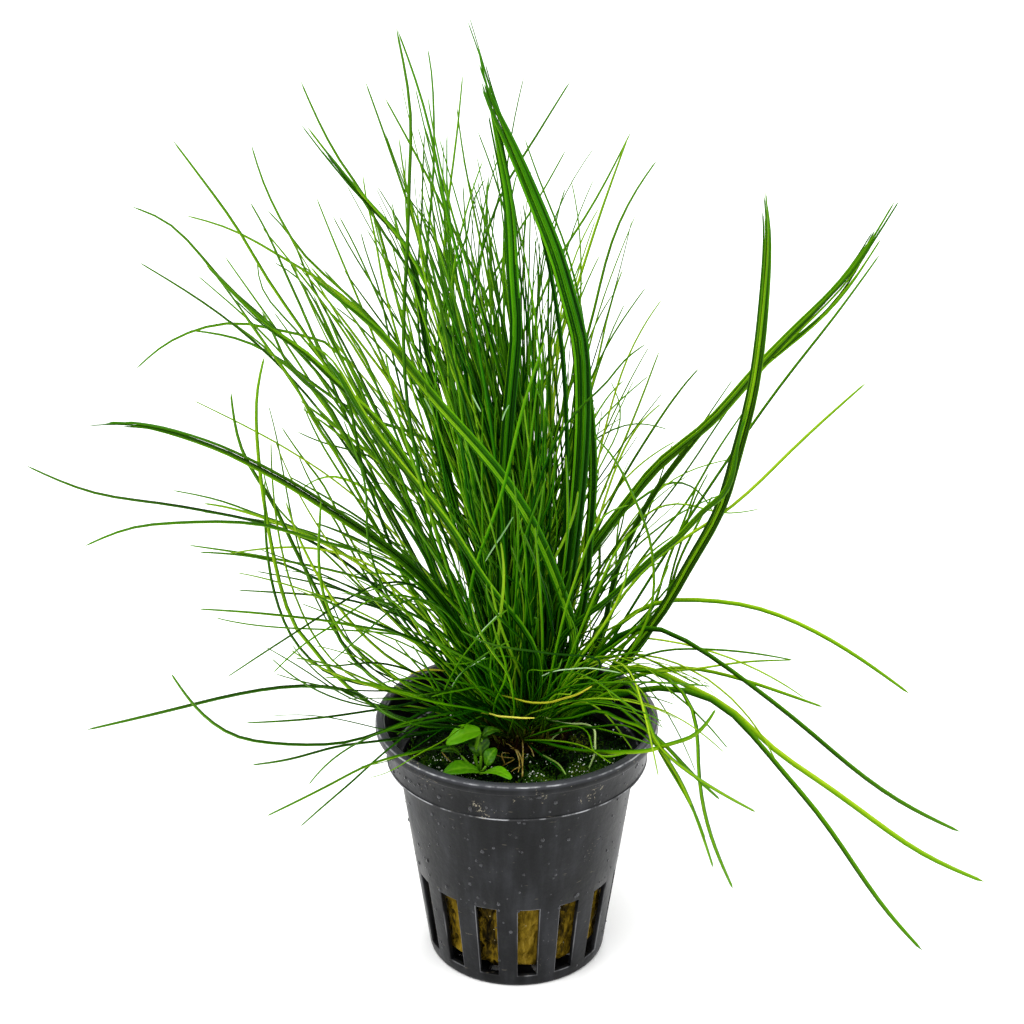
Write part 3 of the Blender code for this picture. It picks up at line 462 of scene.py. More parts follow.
def moulded_plastic():
    """Black polypropylene, injection moulded and wet: a satin charcoal grey, mottled where water dries,
    with drag marks down the wall, pale grit and scuffs that gather on the collar, and painted light on its
    edges."""
    material, tree, shader, place = start_finish("moulded_polypropylene", 0.4, Specular_IOR_Level=0.13)
    split = add(tree, "ShaderNodeSeparateXYZ", links={"Vector": place})
    height = split.outputs["Z"]
    stretched = add(tree, "ShaderNodeMapping", {"Scale": (1.0, 1.0, 0.12)}, {"Vector": place})
    streaks = add(tree, "ShaderNodeTexNoise", {"Scale": per_mm(3.0), "Detail": 4.0},
                  {"Vector": stretched.outputs["Vector"]})
    clouds = add(tree, "ShaderNodeTexNoise", {"Scale": per_mm(14.0), "Detail": 5.0, "Roughness": 0.6},
                 {"Vector": place})
    blend = add(tree, "ShaderNodeMath", links={0: streaks.outputs["Fac"], 1: clouds.outputs["Fac"]},
                operation="ADD")
    mottle = add(tree, "ShaderNodeMath", {1: 0.5}, {0: blend.outputs[0]}, operation="MULTIPLY")
    base = add(tree, "ShaderNodeValToRGB", links={"Fac": mottle.outputs[0]},
               stops=[(0.38, "#070809"), (0.5, "#131416"), (0.62, "#242528")])
    # Painted light on the edges: the lip's top is painted a paler grey, as lit from above, and a broken
    #     painted highlight runs along its outer edge, along the collar's foot and round the slots
    lip = add(tree, "ShaderNodeMapRange", {"From Min": 49.9 * MM, "From Max": 50.5 * MM, "To Max": 0.7},
              {"Value": height})
    lined = add(tree, "ShaderNodeMix", {7: linear("#3c3d42")},
                {0: lip.outputs[0], 6: base.outputs["Color"]}, data_type="RGBA")
    # Where the painted highlight lines run whole and where they break
    wet = add(tree, "ShaderNodeMapRange", {"From Min": 0.9, "From Max": 1.1, "To Min": 0.08, "To Max": 1.0},
              {"Value": blend.outputs[0]})
    wander = add(tree, "ShaderNodeMapRange", {"From Min": 0.3, "From Max": 0.7, "To Min": -0.04 * MM,
                                              "To Max": 0.04 * MM}, {"Value": streaks.outputs["Fac"]})
    uneven = add(tree, "ShaderNodeMath", links={0: height, 1: wander.outputs[0]}, operation="ADD")
    gleams = []
    for middle, half in PAINTED_HIGHLIGHT_LINES:
        off = add(tree, "ShaderNodeMath", {1: middle * MM}, {0: uneven.outputs[0]}, operation="SUBTRACT")
        gleams.append(painted_highlight_line(tree, off, half, wet))
    round_slots = painted_highlight_line(tree, past_slot_edge(tree, split), SLOT_HIGHLIGHT_HALF_WIDTH, wet)
    outside = on_outer_face(tree, place, height)
    gleams.append(add(tree, "ShaderNodeMath", links={0: round_slots.outputs[0], 1: outside.outputs[0]},
                      operation="MULTIPLY"))
    # Each painted highlight mixes in a pale grey
    for gleam in gleams:
        lined = add(tree, "ShaderNodeMix", {7: linear("#9a9b9e")},
                    {0: gleam.outputs[0], 6: lined.outputs[2]}, data_type="RGBA")
    marks = grit_and_scuffs(tree, place, height)
    dirty = add(tree, "ShaderNodeMix", {7: linear("#7c7666")},
                {0: marks.outputs[0], 6: lined.outputs[2]}, data_type="RGBA")
    tree.links.new(dirty.outputs[2], shader.inputs["Base Color"])
    gloss = add(tree, "ShaderNodeMapRange", {"From Min": 0.35, "From Max": 0.65, "To Min": 0.3,
                                             "To Max": 0.5}, {"Value": clouds.outputs["Fac"]})
    tree.links.new(gloss.outputs[0], shader.inputs["Roughness"])
    fine = add(tree, "ShaderNodeTexNoise", {"Scale": per_mm(1.2), "Detail": 4.0}, {"Vector": place})
    bump = add(tree, "ShaderNodeBump", {"Strength": 0.5, "Distance": 0.12 * MM},
               {"Height": fine.outputs["Fac"]})
    tree.links.new(bump.outputs["Normal"], shader.inputs["Normal"])
    return material


def wet_drop(name, code, other):
    """A drop of water: very smooth; on the pot in the colour of the ground under it, on the moss and the
    wool painted pale as the glint it shows.
    """
    material, tree, shader, place = start_finish(name, 0.12, Specular_IOR_Level=0.3)
    tint = add(tree, "ShaderNodeTexNoise", {"Scale": per_mm(3.0)}, {"Vector": place})
    shade = add(tree, "ShaderNodeValToRGB", links={"Fac": tint.outputs["Fac"]},
                stops=[(0.35, code), (0.65, other)])
    tree.links.new(shade.outputs["Color"], shader.inputs["Base Color"])
    return material


def mineral_wool():
    """Spun stone wool, soaked and grown over with algae: matted olive-brown fibres whose darkest patches
    are painted shade in the fissures, and a top that is algae green painted near black as shade under the
    grass."""
    material, tree, shader, place = start_finish("soaked_stone_wool", 0.5, Specular_IOR_Level=0.02)
    stretched = add(tree, "ShaderNodeMapping", {"Scale": (1.0, 1.0, 0.3)}, {"Vector": place})
    fibres = add(tree, "ShaderNodeTexNoise", {"Scale": per_mm(0.9), "Detail": 6.0, "Roughness": 0.65},
                 {"Vector": stretched.outputs["Vector"]})
    lumps = add(tree, "ShaderNodeTexNoise", {"Scale": per_mm(4.5), "Detail": 3.0},
                {"Vector": stretched.outputs["Vector"]})
    blend = add(tree, "ShaderNodeMath", links={0: fibres.outputs["Fac"], 1: lumps.outputs["Fac"]},
                operation="ADD")
    half = add(tree, "ShaderNodeMath", {1: 0.5}, {0: blend.outputs[0]}, operation="MULTIPLY")
    # Side: the near-black low stops are painted shade in the fissures and holes
    side = add(tree, "ShaderNodeValToRGB", links={"Fac": half.outputs[0]},
               stops=[(0.38, "#060400"), (0.45, "#302606"), (0.51, "#5e4c0e"), (0.6, "#7e681c"),
                      (0.72, "#a89044")])
    # Top: algae green, painted near black for the shade under the grass
    top = add(tree, "ShaderNodeValToRGB", links={"Fac": half.outputs[0]},
              stops=[(0.36, "#020402"), (0.52, "#071206"), (0.66, "#162a0a")])
    height = add(tree, "ShaderNodeSeparateXYZ", links={"Vector": place}).outputs["Z"]
    rise = add(tree, "ShaderNodeMapRange", {"From Min": 34.0 * MM, "From Max": 40.0 * MM},
               {"Value": height})
    mixed = add(tree, "ShaderNodeMix", links={0: rise.outputs[0], 6: side.outputs["Color"],
                                              7: top.outputs["Color"]}, data_type="RGBA")
    tree.links.new(mixed.outputs[2], shader.inputs["Base Color"])
    bump = add(tree, "ShaderNodeBump", {"Strength": 0.9, "Distance": 0.5 * MM}, {"Height": half.outputs[0]})
    tree.links.new(bump.outputs["Normal"], shader.inputs["Normal"])
    return material


def leaf_skin(name, tones, foot, tip, roughness, shine, sheath=0.1):
    """Living grass leaf: a smooth waxy skin whose green differs from leaf to leaf, with painted shade
    toward its foot and painted light that warms leaves reaching out, and which pales to its tip; at the
    foot it passes into a dull sheath."""
    material, tree, shader, place = start_finish(name, roughness, Specular_IOR_Level=shine)
    tone = add(tree, "ShaderNodeAttribute", attribute_name="tone").outputs["Fac"]
    along = add(tree, "ShaderNodeAttribute", attribute_name="along").outputs["Fac"]
    mottle = add(tree, "ShaderNodeTexNoise", {"Scale": per_mm(9.0), "Detail": 2.0}, {"Vector": place})
    wander = add(tree, "ShaderNodeMapRange", {"To Min": -0.16, "To Max": 0.16},
                 {"Value": mottle.outputs["Fac"]})
    # Painted shade: darker toward the foot, where the leaves shade each other
    shade = add(tree, "ShaderNodeMapRange", {"From Min": 0.05, "From Max": 0.6, "To Min": -0.14,
                                             "To Max": 0.02}, {"Value": along})
    level = add(tree, "ShaderNodeMath", links={0: tone, 1: wander.outputs[0]}, operation="ADD")
    level = add(tree, "ShaderNodeMath", links={0: level.outputs[0], 1: shade.outputs[0]}, operation="ADD")
    green = add(tree, "ShaderNodeValToRGB", links={"Fac": level.outputs[0]}, stops=tones)
    # Painted light: leaves that reach out from the middle are a warmer green, for the light they catch
    painted_warmth = add(tree, "ShaderNodeMapRange", {"From Min": 10 * MM, "From Max": 32 * MM, "To Min": 0.5,
                                            "To Max": 0.474}, {"Value": reach_of(tree, place)})
    green = add(tree, "ShaderNodeHueSaturation", links={"Hue": painted_warmth.outputs[0],
                                                        "Color": green.outputs["Color"]})
    low = add(tree, "ShaderNodeMapRange", {"From Min": sheath * 0.6 - 0.06, "From Max": sheath,
                                           "To Min": 0.9, "To Max": 0.0}, {"Value": along})
    footed = add(tree, "ShaderNodeMix", {7: linear(foot)}, {0: low.outputs[0], 6: green.outputs["Color"]},
                 data_type="RGBA")
    high = add(tree, "ShaderNodeMapRange", {"From Min": 0.72, "From Max": 1.0, "To Min": 0.0,
                                            "To Max": 0.65}, {"Value": along})
    tipped = add(tree, "ShaderNodeMix", {7: linear(tip)}, {0: high.outputs[0], 6: footed.outputs[2]},
                 data_type="RGBA")
    tree.links.new(tipped.outputs[2], shader.inputs["Base Color"])
    return material


def moss_skin(name, tones):
    """Wet moss and thread algae: tiny pointed leaves, mottled from near black, painted shade between them,
    to green.
    """
    material, tree, shader, place = start_finish(name, 0.6, Specular_IOR_Level=0.0)
    grain = add(tree, "ShaderNodeTexNoise", {"Scale": per_mm(1.1), "Detail": 5.0, "Roughness": 0.7},
                {"Vector": place})
    patch = add(tree, "ShaderNodeTexNoise", {"Scale": per_mm(5.0), "Detail": 2.0}, {"Vector": place})
    level = add(tree, "ShaderNodeMix", {0: 0.5}, {2: grain.outputs["Fac"], 3: patch.outputs["Fac"]})
    colour = add(tree, "ShaderNodeValToRGB", links={"Fac": level.outputs[0]}, stops=tones)
    tree.links.new(colour.outputs["Color"], shader.inputs["Base Color"])
    bump = add(tree, "ShaderNodeBump", {"Strength": 0.8, "Distance": 0.3 * MM},
               {"Height": grain.outputs["Fac"]})
    tree.links.new(bump.outputs["Normal"], shader.inputs["Normal"])
    return material


def plant_skin(name, stops, roughness=0.5, size=1.5):
    """A dull plant skin, such as bark or root: blotches a millimetre or two across."""
    material, tree, shader, place = start_finish(name, roughness, Specular_IOR_Level=0.02)
    blotch = add(tree, "ShaderNodeTexNoise", {"Scale": per_mm(size), "Detail": 4.0}, {"Vector": place})
    colour = add(tree, "ShaderNodeValToRGB", links={"Fac": blotch.outputs["Fac"]}, stops=stops)
    tree.links.new(colour.outputs["Color"], shader.inputs["Base Color"])
    bump = add(tree, "ShaderNodeBump", {"Strength": 0.4, "Distance": 0.1 * MM},
               {"Height": blotch.outputs["Fac"]})
    tree.links.new(bump.outputs["Normal"], shader.inputs["Normal"])
    return material


def seedling_skin():
    """Broad young leaf: bright, smooth and slightly shiny, with paler veins."""
    material, tree, shader, place = start_finish("broad_leaf", 0.3, Specular_IOR_Level=0.14)
    tone = add(tree, "ShaderNodeAttribute", attribute_name="tone").outputs["Fac"]
    vein = add(tree, "ShaderNodeAttribute", attribute_name="along").outputs["Fac"]
    mottle = add(tree, "ShaderNodeTexNoise", {"Scale": per_mm(1.2), "Detail": 3.0}, {"Vector": place})
    wander = add(tree, "ShaderNodeMapRange", {"To Min": -0.2, "To Max": 0.2},
                 {"Value": mottle.outputs["Fac"]})
    level = add(tree, "ShaderNodeMath", links={0: tone, 1: wander.outputs[0]}, operation="ADD")
    green = add(tree, "ShaderNodeValToRGB", links={"Fac": level.outputs[0]},
                stops=[(0.05, "#0e2a02"), (0.3, "#245604"), (0.6, "#468606"), (0.9, "#62aa08"),
                       (1.0, "#80c01c")])
    veined = add(tree, "ShaderNodeMix", {7: linear("#7cb424")}, {0: vein, 6: green.outputs["Color"]},
                 data_type="RGBA")
    tree.links.new(veined.outputs[2], shader.inputs["Base Color"])
    return material


def drop_selection():
    """Nothing is selected and nothing is active."""
    if bpy.context.object and bpy.context.object.mode != "OBJECT":
        bpy.ops.object.mode_set(mode="OBJECT")
    bpy.ops.object.select_all(action="DESELECT")


def take(piece):
    """Only this piece is selected, and it is active."""
    drop_selection()
    piece.select_set(True)
    bpy.context.view_layer.objects.active = piece


def settle(piece, material, slot, *nodes):
    """Apply a piece's modifiers and place, give it its finish and hand it over to the frame."""
    take(piece)
    for modifier in list(piece.modifiers):
        bpy.ops.object.modifier_apply(modifier=modifier.name)
    bpy.ops.object.transform_apply(location=True, rotation=True, scale=True)
    piece.data.materials.clear()
    piece.data.materials.append(material)
    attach(piece, "root")
    if nodes:
        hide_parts(*nodes)
    return piece


def mesh_piece(name, points, faces, smooth=True, **fields):
    """A piece from points in millimetres, its faces and values that it carries at its points."""
    mesh = bpy.data.meshes.new(name)
    mesh.from_pydata((np.asarray(points, float) * MM).tolist(), [], faces)
    mesh.polygons.foreach_set("use_smooth", [smooth] * len(mesh.polygons))
    for key, values in fields.items():
        mesh.attributes.new(key, "FLOAT", "POINT").data.foreach_set("value", np.asarray(values, np.float32))
    mesh.update()
    piece = bpy.data.objects.new(name, mesh)
    bpy.context.scene.collection.objects.link(piece)
    return piece


def around(angle, radius, height=0.0):
    """The point at an angle in degrees, counted from +X, on a circle about the pot's axis."""
    turn = math.radians(angle)
    return np.array((radius * math.cos(turn), radius * math.sin(turn), height))


def wall_radius(height):
    """Outer radius of the pot's tapered wall at a height."""
    return BASE_RADIUS + (BODY_TOP_RADIUS - BASE_RADIUS) * height / COLLAR_FOOT


def lathe(name, outline, sides):
    """A turned shell: a ring that is extruded and resized from one point of its outline to the next."""
    drop_selection()
    radius, height = outline[0]
    bpy.ops.mesh.primitive_circle_add(vertices=sides, radius=radius * MM, location=(0, 0, height * MM))
    shell = bpy.context.object
    shell.name = name
    bpy.ops.object.transform_apply(location=True)
    bpy.ops.object.mode_set(mode="EDIT")
    bpy.ops.mesh.select_mode(type="EDGE")
    bpy.ops.mesh.select_all(action="SELECT")
    for (radius, height), (wider, higher) in zip(outline, outline[1:]):
        bpy.ops.mesh.extrude_region_move(TRANSFORM_OT_translate={"value": (0, 0, (higher - height) * MM)})
        bpy.ops.transform.resize(value=(wider / radius, wider / radius, 1), center_override=(0, 0, 0))
    bpy.ops.mesh.select_all(action="SELECT")
    bpy.ops.mesh.fill_holes(sides=0)
    bpy.ops.mesh.select_all(action="SELECT")
    bpy.ops.mesh.normals_make_consistent(inside=False)
    bpy.ops.object.mode_set(mode="OBJECT")
    return shell


def pot_outline():
    """Half section of the pot, from the edge of its base up the outside and down the inside."""
    outer = [(16.8, 0.0), (17.25, 0.12), (17.5, 0.4), (17.6, 0.8)]
    outer += [(wall_radius(height), height) for height in (SLOT_BOTTOM, SLOT_TOP, 24.0, 32.0, 40.6)]
    outer += [(23.2, 41.4), (23.5, 41.9), (24.2, 42.15), (25.1, 42.2), (25.42, 42.3), (25.52, 42.5),
              (25.5, 42.75), (25.36, 42.95), (25.4, 43.3), (25.9, 46.0), (26.36, 48.3), (26.5, 48.62),
              (26.9, 48.72), (27.3, 48.85), (27.48, 49.1), (27.52, 49.7), (27.5, 50.3), (27.36, 50.68),
              (27.1, 50.9), (26.75, 51.0), (26.35, 50.98), (26.0, 50.86), (25.75, 50.6), (25.6, 50.2)]
    inner = [(25.4, 48.6), (24.9, 46.0), (24.3, 42.9), (23.6, 42.3), (22.5, 41.7), (22.2, 41.0)]
    inner += [(wall_radius(height) - WALL, height) for height in (32.0, 24.0, SLOT_TOP, SLOT_BOTTOM)]
    return outer + inner + [(wall_radius(FLOOR) - WALL - 0.15, FLOOR + 0.1), (16.3, FLOOR)]


def open_slots(pot):
    """Turn the wall's columns so that they line up with the slots, then open each slot: its outer and its
    inner patch of wall go, and faces close the gap between their edges."""
    period = SLOT_STEPS + RIB_STEPS
    half = math.degrees(SLOT_HALF_WIDTH / wall_radius(SLOT_TOP))
    pitch = 360 / SLOTS
    shape = bmesh.new()
    shape.from_mesh(pot.data)
    places = {}
    for vertex in shape.verts:
        turn = math.degrees(math.atan2(vertex.co.y, vertex.co.x))
        column = math.floor(turn / (pitch / period)) % (SLOTS * period)
        slot, step = divmod(column, period)
        if step <= SLOT_STEPS:
            angle = -half + 2 * half * step / SLOT_STEPS
        else:
            angle = half + (pitch - 2 * half) * (step - SLOT_STEPS) / RIB_STEPS
        angle += -90 + SLOT_TURN + slot * pitch
        reach = math.hypot(vertex.co.x, vertex.co.y)
        vertex.co = Vector(around(angle, reach, vertex.co.z))
        inside = reach / MM < wall_radius(vertex.co.z / MM) - WALL / 2
        if SLOT_BOTTOM - 0.1 < vertex.co.z / MM < SLOT_TOP + 0.1:
            places[inside, column, round(vertex.co.z / MM, 1)] = vertex
    keys = {vertex: key for key, vertex in places.items()}
    patches = []
    walls = []
    for face in shape.faces:
        if len(face.verts) != 4 or any(vertex not in keys for vertex in face.verts):
            continue
        steps = [keys[vertex][1] % period for vertex in face.verts]
        if max(steps) <= SLOT_STEPS:
            patches.append(face)
    for face in patches:
        for loop in face.loops:
            here, there = loop.vert, loop.link_loop_next.vert
            shared = [other for other in loop.edge.link_faces if other in patches]
            if len(shared) == 1 and not keys[here][0]:
                back = [places[(True, *keys[vertex][1:])] for vertex in (there, here)]
                walls.append((here, there, *back))
    bmesh.ops.delete(shape, geom=patches, context="FACES")
    for corners in walls:
        shape.faces.new(corners)
    bmesh.ops.recalc_face_normals(shape, faces=shape.faces)
    shape.to_mesh(pot.data)
    shape.free()


def open_floor(pot):
    """Cut the radial slots of the pot's floor."""
    inner, outer, width = FLOOR_SLOT
    drop_selection()
    cutters = []
    for index in range(FLOOR_SLOTS):
        angle = index * 360 / FLOOR_SLOTS
        x, y, z = around(angle, (inner + outer) / 2, FLOOR / 2) * MM
        bpy.ops.mesh.primitive_cube_add(size=MM, location=(x, y, z), rotation=(0, 0, math.radians(angle)),
                                        scale=(outer - inner, width, FLOOR * 2))
        cutters.append(bpy.context.object)
    for cutter in cutters:
        cutter.select_set(True)
    bpy.ops.object.join()
    cutter = bpy.context.object
    take(pot)
    cut = pot.modifiers.new("Floor slots", "BOOLEAN")
    cut.operation = "DIFFERENCE"
    cut.solver = "EXACT"
    cut.object = cutter
    bpy.ops.object.modifier_apply(modifier=cut.name)
    bpy.data.objects.remove(cutter)


def stations(count):
    """Shares of a leaf's length at which it has its points, closer together towards the tip."""
    return 1.0 - (1.0 - np.linspace(0.0, 1.0, count)) ** 1.35


def smooth_line(points, count):
    """Points at a leaf's stations along the natural cubic spline through some points."""
    knots = np.array(points, float)
    runs = np.linalg.norm(np.diff(knots, axis=0), axis=1)
    places = np.concatenate(([0.0], np.cumsum(runs)))
    size = len(knots)
    system = np.eye(size)
    right = np.zeros_like(knots)
    for i in range(1, size - 1):
        system[i, i - 1:i + 2] = runs[i - 1], 2 * (runs[i - 1] + runs[i]), runs[i]
        right[i] = 6 * ((knots[i + 1] - knots[i]) / runs[i] - (knots[i] - knots[i - 1]) / runs[i - 1])
    bend = np.linalg.solve(system, right)
    line = []
    for place in stations(count) * places[-1]:
        i = min(int(np.searchsorted(places, place, side="right")) - 1, size - 2)
        run = runs[i]
        a = (places[i + 1] - place) / run
        b = 1.0 - a
        curve = ((a ** 3 - a) * bend[i] + (b ** 3 - b) * bend[i + 1]) * run ** 2 / 6
        line.append(a * knots[i] + b * knots[i + 1] + curve)
    return np.array(line)


def readings(text):
    """Pixel positions out of a line of readings."""
    return np.array([[float(part) for part in pair.split(",")] for pair in text.split()])


def viewer():
    """The camera's place, its way forward and its way up, in millimetres."""
    down = math.radians(LOOK_DOWN)
    ahead = np.array((0.0, math.cos(down), -math.sin(down)))
    return np.array(LOOK_AT) - ahead * LOOK_DISTANCE, ahead, np.array((0.0, math.sin(down), math.cos(down)))


def to_pixels(points):
    """Where points appear in the photograph."""
    eye, ahead, up = viewer()
    offsets = np.asarray(points) - eye
    scale = FOCUS / (offsets @ ahead)
    return np.stack((PICTURE / 2 + offsets[..., 0] * scale, PICTURE / 2 - (offsets @ up) * scale), axis=-1)


def rays_through(pixels):
    """The camera's place, and the ways from it through some pixels."""
    eye, ahead, up = viewer()
    aside, below = pixels[:, :1] - PICTURE / 2, pixels[:, 1:2] - PICTURE / 2
    return eye, ahead + aside / FOCUS * (1.0, 0.0, 0.0) - below / FOCUS * up


def from_pixels(pixels, depths):
    """The points that appear at some pixels and lie at some distances behind the pot's axis."""
    eye, rays = rays_through(pixels)
    return eye + rays * ((depths - eye[1]) / rays[:, 1])[:, None]


def on_level(spots):
    """The points that appear at some pixels and lie at some heights: x, y and height of each."""
    spots = np.array(spots, float)
    eye, rays = rays_through(spots)
    return eye + rays * ((spots[:, 2] - eye[2]) / rays[:, 2])[:, None]


def length_of(line):
    """How long a line of points is."""
    return np.linalg.norm(np.diff(line, axis=0), axis=1).sum()


def seen_line(pixels, guide, deeper, count):
    """A leaf that runs through its pixels and bends away from the viewer as its guide does, as far as its
    length takes it."""
    knots = np.vstack((to_pixels(guide[0]), pixels))
    places = np.concatenate(([0.0], np.cumsum(np.linalg.norm(np.diff(knots, axis=0), axis=1))))
    deeper = deeper * min(1.0, places[-1] / length_of(to_pixels(guide)))
    share = stations(len(guide))
    depths = np.interp(places / places[-1], share, guide[:, 1] - guide[0, 1]) * deeper + guide[0, 1]
    return smooth_line(from_pixels(knots, depths), count)


def nearer_viewer(line, far):
    """The line moved toward the viewer by so many millimetres, so that it still runs through its pixels."""
    toward = viewer()[0] - line
    return line + toward / np.linalg.norm(toward, axis=1)[:, None] * np.reshape(far, (-1, 1))


def strand_middle(name, text, count):
    """The middle of a strand: through its pixels, as deep as its solid."""
    return seen_line(readings(text), smooth_line(solid_line(name), count), 1.0, count)


def bend_behind(line, strands):
    """Bend a leaf that would hide a strand back behind it, so that it still runs through its pixels."""
    share = stations(len(line))
    fine = np.linspace(0.15, 1.0, 72)
    dense = np.stack([np.interp(fine, share, line[:, axis]) for axis in range(3)], axis=1)
    spots = to_pixels(dense)
    far = np.linalg.norm(dense - viewer()[0], axis=1)
    need = 0.0
    for pixels, depths, reach in strands:
        gaps = np.linalg.norm(spots[:, None] - pixels[None], axis=2)
        close = gaps.min(axis=1) < reach
        if close.any():
            need = max(need, (depths[gaps.argmin(axis=1)] + 1.6 - far)[close].max())
    return nearer_viewer(line, -min(need, 26.0) * np.minimum(1.0, share * 3.0))


def clashes(line):
    """How many points of a leaf lie in the plug, in the pot's wall, low behind the pot or at the floor."""
    reach = np.linalg.norm(line[:, :2], axis=1)
    height = line[:, 2]
    within = (reach < INSIDE_REACH) & (height < WOOL_CLEAR)
    wall = (reach >= INSIDE_REACH) & (reach < LIP_REACH) & (height < POT_HEIGHT)
    behind = (reach >= LIP_REACH) & (line[:, 1] > 6.0) & (height < POT_HEIGHT - 3.0)
    return np.count_nonzero(within | wall | behind | (height < 3.0))


def keep_clear(line):
    """Bring a leaf nearer to the viewer where the plug or the pot's lip is still in its way."""
    toward = viewer()[0] - line
    toward /= np.linalg.norm(toward, axis=1)[:, None]
    nearer = np.zeros(len(line))
    for i, point in enumerate(line):
        while nearer[i] < 40.0:
            x, y, z = point + toward[i] * nearer[i]
            reach = math.hypot(x, y)
            if z > (WOOL_CLEAR + 0.2 if reach < INSIDE_REACH else POT_HEIGHT + 1.0) or reach > LIP_REACH:
                break
            nearer[i] += 0.5
    for turn in range(3):
        padded = np.pad(nearer, 1, mode="edge")
        nearer = np.maximum(nearer, (padded[:-2] + padded[2:]) / 2)
    nearer[0] = 0.0
    return nearer_viewer(line, nearer)


def read_lines(name, sides):
    """The middle lines of a solid's locks, root first, in millimetres, and all of the solid's corners.

    A lock ends in a point where as many edges meet as it has sides, and below it ring follows ring."""
    mesh = CAD[name].data
    corners = np.empty(len(mesh.vertices) * 3)
    mesh.vertices.foreach_get("co", corners)
    spots, welded = np.unique(np.round(corners.reshape(-1, 3) / MM, 4), axis=0, return_inverse=True)
    near = [set() for spot in spots]
    for edge in mesh.edges:
        a, b = (int(welded.ravel()[corner]) for corner in edge.vertices)
        if a != b:
            near[a].add(b)
            near[b].add(a)
    found = []
    for start in range(len(spots)):
        if len(near[start]) != sides:
            continue
        rings = [[start]]
        seen = {start}
        while True:
            ring = sorted(set().union(*(near[corner] for corner in rings[-1])) - seen)
            if len(ring) != sides:
                break
            rings.append(ring)
            seen.update(ring)
        if len(rings) > 5:
            found.append(np.array([spots[ring].mean(axis=0) for ring in rings[::-1]]))
    return found, spots


def solid_line(name):
    """The middle line of a solid that is one four-sided lock."""
    return read_lines(name, 4)[0][0]


def frames_along(lines):
    """Two directions across each line at each of its points, turned as little as they can be."""
    ways = np.gradient(lines, axis=1)
    ways /= np.linalg.norm(ways, axis=2, keepdims=True)
    side = np.cross(ways[:, 0], (0.0, 1.0, 0.0))
    side /= np.linalg.norm(side, axis=1, keepdims=True)
    sides = np.empty_like(ways)
    for step in range(lines.shape[1]):
        side = side - ways[:, step] * (side * ways[:, step]).sum(axis=1, keepdims=True)
        side /= np.linalg.norm(side, axis=1, keepdims=True)
        sides[:, step] = side
    return sides, np.cross(ways, sides)


def leaves(name, lines, widths, tones, sides=3, flat=0.8, blunt=0.5, taper=9.0):
    """Many closed leaves in one mesh: each follows its line, keeps its width for most of the way and
    narrows to a point."""
    lines = np.asarray(lines, float)
    count, steps = lines.shape[:2]
    share = stations(steps)
    across, out = frames_along(lines)
    shape = np.minimum(1.0, 0.6 + share * 1.6) * (blunt + (1.0 - blunt) * (1.0 - share ** taper))
    half = np.asarray(widths)[:, None] / 2 * shape
    turns = 2 * math.pi * np.arange(sides) / sides
    rings = (lines[:, :, None] + across[:, :, None] * (half[:, :, None] * np.cos(turns))[..., None]
             + out[:, :, None] * (half[:, :, None] * np.sin(turns) * flat)[..., None])
    rings = rings[:, :-1].reshape(count, -1, 3)
    points = np.concatenate((rings, lines[:, -1:]), axis=1)
    size = points.shape[1]
    pattern = [tuple(reversed(range(sides)))]
    for ring in range(steps - 2):
        low = ring * sides
        for corner in range(sides):
            after = (corner + 1) % sides
            pattern.append((low + corner, low + after, low + sides + after, low + sides + corner))
    last = size - 1 - sides
    pattern += [(last + corner, last + (corner + 1) % sides, size - 1) for corner in range(sides)]
    faces = [tuple(start + corner for corner in face) for start in range(0, count * size, size)
             for face in pattern]
    along = np.concatenate((np.repeat(share[:-1], sides), [1.0]))
    # Painted sheen and shade: each leaf's first edge is lighter and its other edges darker
    painted_sheen = np.where(np.arange(size) % sides == 0, 0.36, -0.14)
    return mesh_piece(name, points.reshape(-1, 3), faces, along=np.tile(along, count),
                      tone=np.repeat(tones, size) + np.tile(painted_sheen, count))


def in_the_way(line):
    """Whether a leaf would cover the moss, the runner or the pot's front, which show in the photograph, or
    stand higher than the highest one."""
    x, y = to_pixels(line).T
    hides = y < HIGHEST_TIP
    for left, top, right, bottom in (MOSS_VIEW, RUNNER_VIEW, POT_VIEW):
        hides |= (x > left) & (x < right) & (y > top) & (y < bottom)
    return bool(hides.any())


def beads(name, centres, rng):
    """Small round drops of water, in one mesh."""
    points = []
    faces = []
    sides = 6
    tilts = (-0.9, -0.3, 0.3, 0.9)
    for centre in centres:
        size = 0.07 + 0.14 * rng.random() ** 2
        start = len(points)
        for tilt in tilts:
            points += [centre + size * around(360 / sides * turn, math.cos(tilt), math.sin(tilt))
                       for turn in range(sides)]
        points += [centre + (0, 0, -size), centre + (0, 0, size)]
        top = start + sides * (len(tilts) - 1)
        for low in range(start, top, sides):
            faces += [(low + i, low + (i + 1) % sides, low + sides + (i + 1) % sides, low + sides + i)
                      for i in range(sides)]
        faces += [(start + (i + 1) % sides, start + i, top + sides) for i in range(sides)]
        faces += [(top + i, top + (i + 1) % sides, top + sides + 1) for i in range(sides)]
    return mesh_piece(name, points, faces)


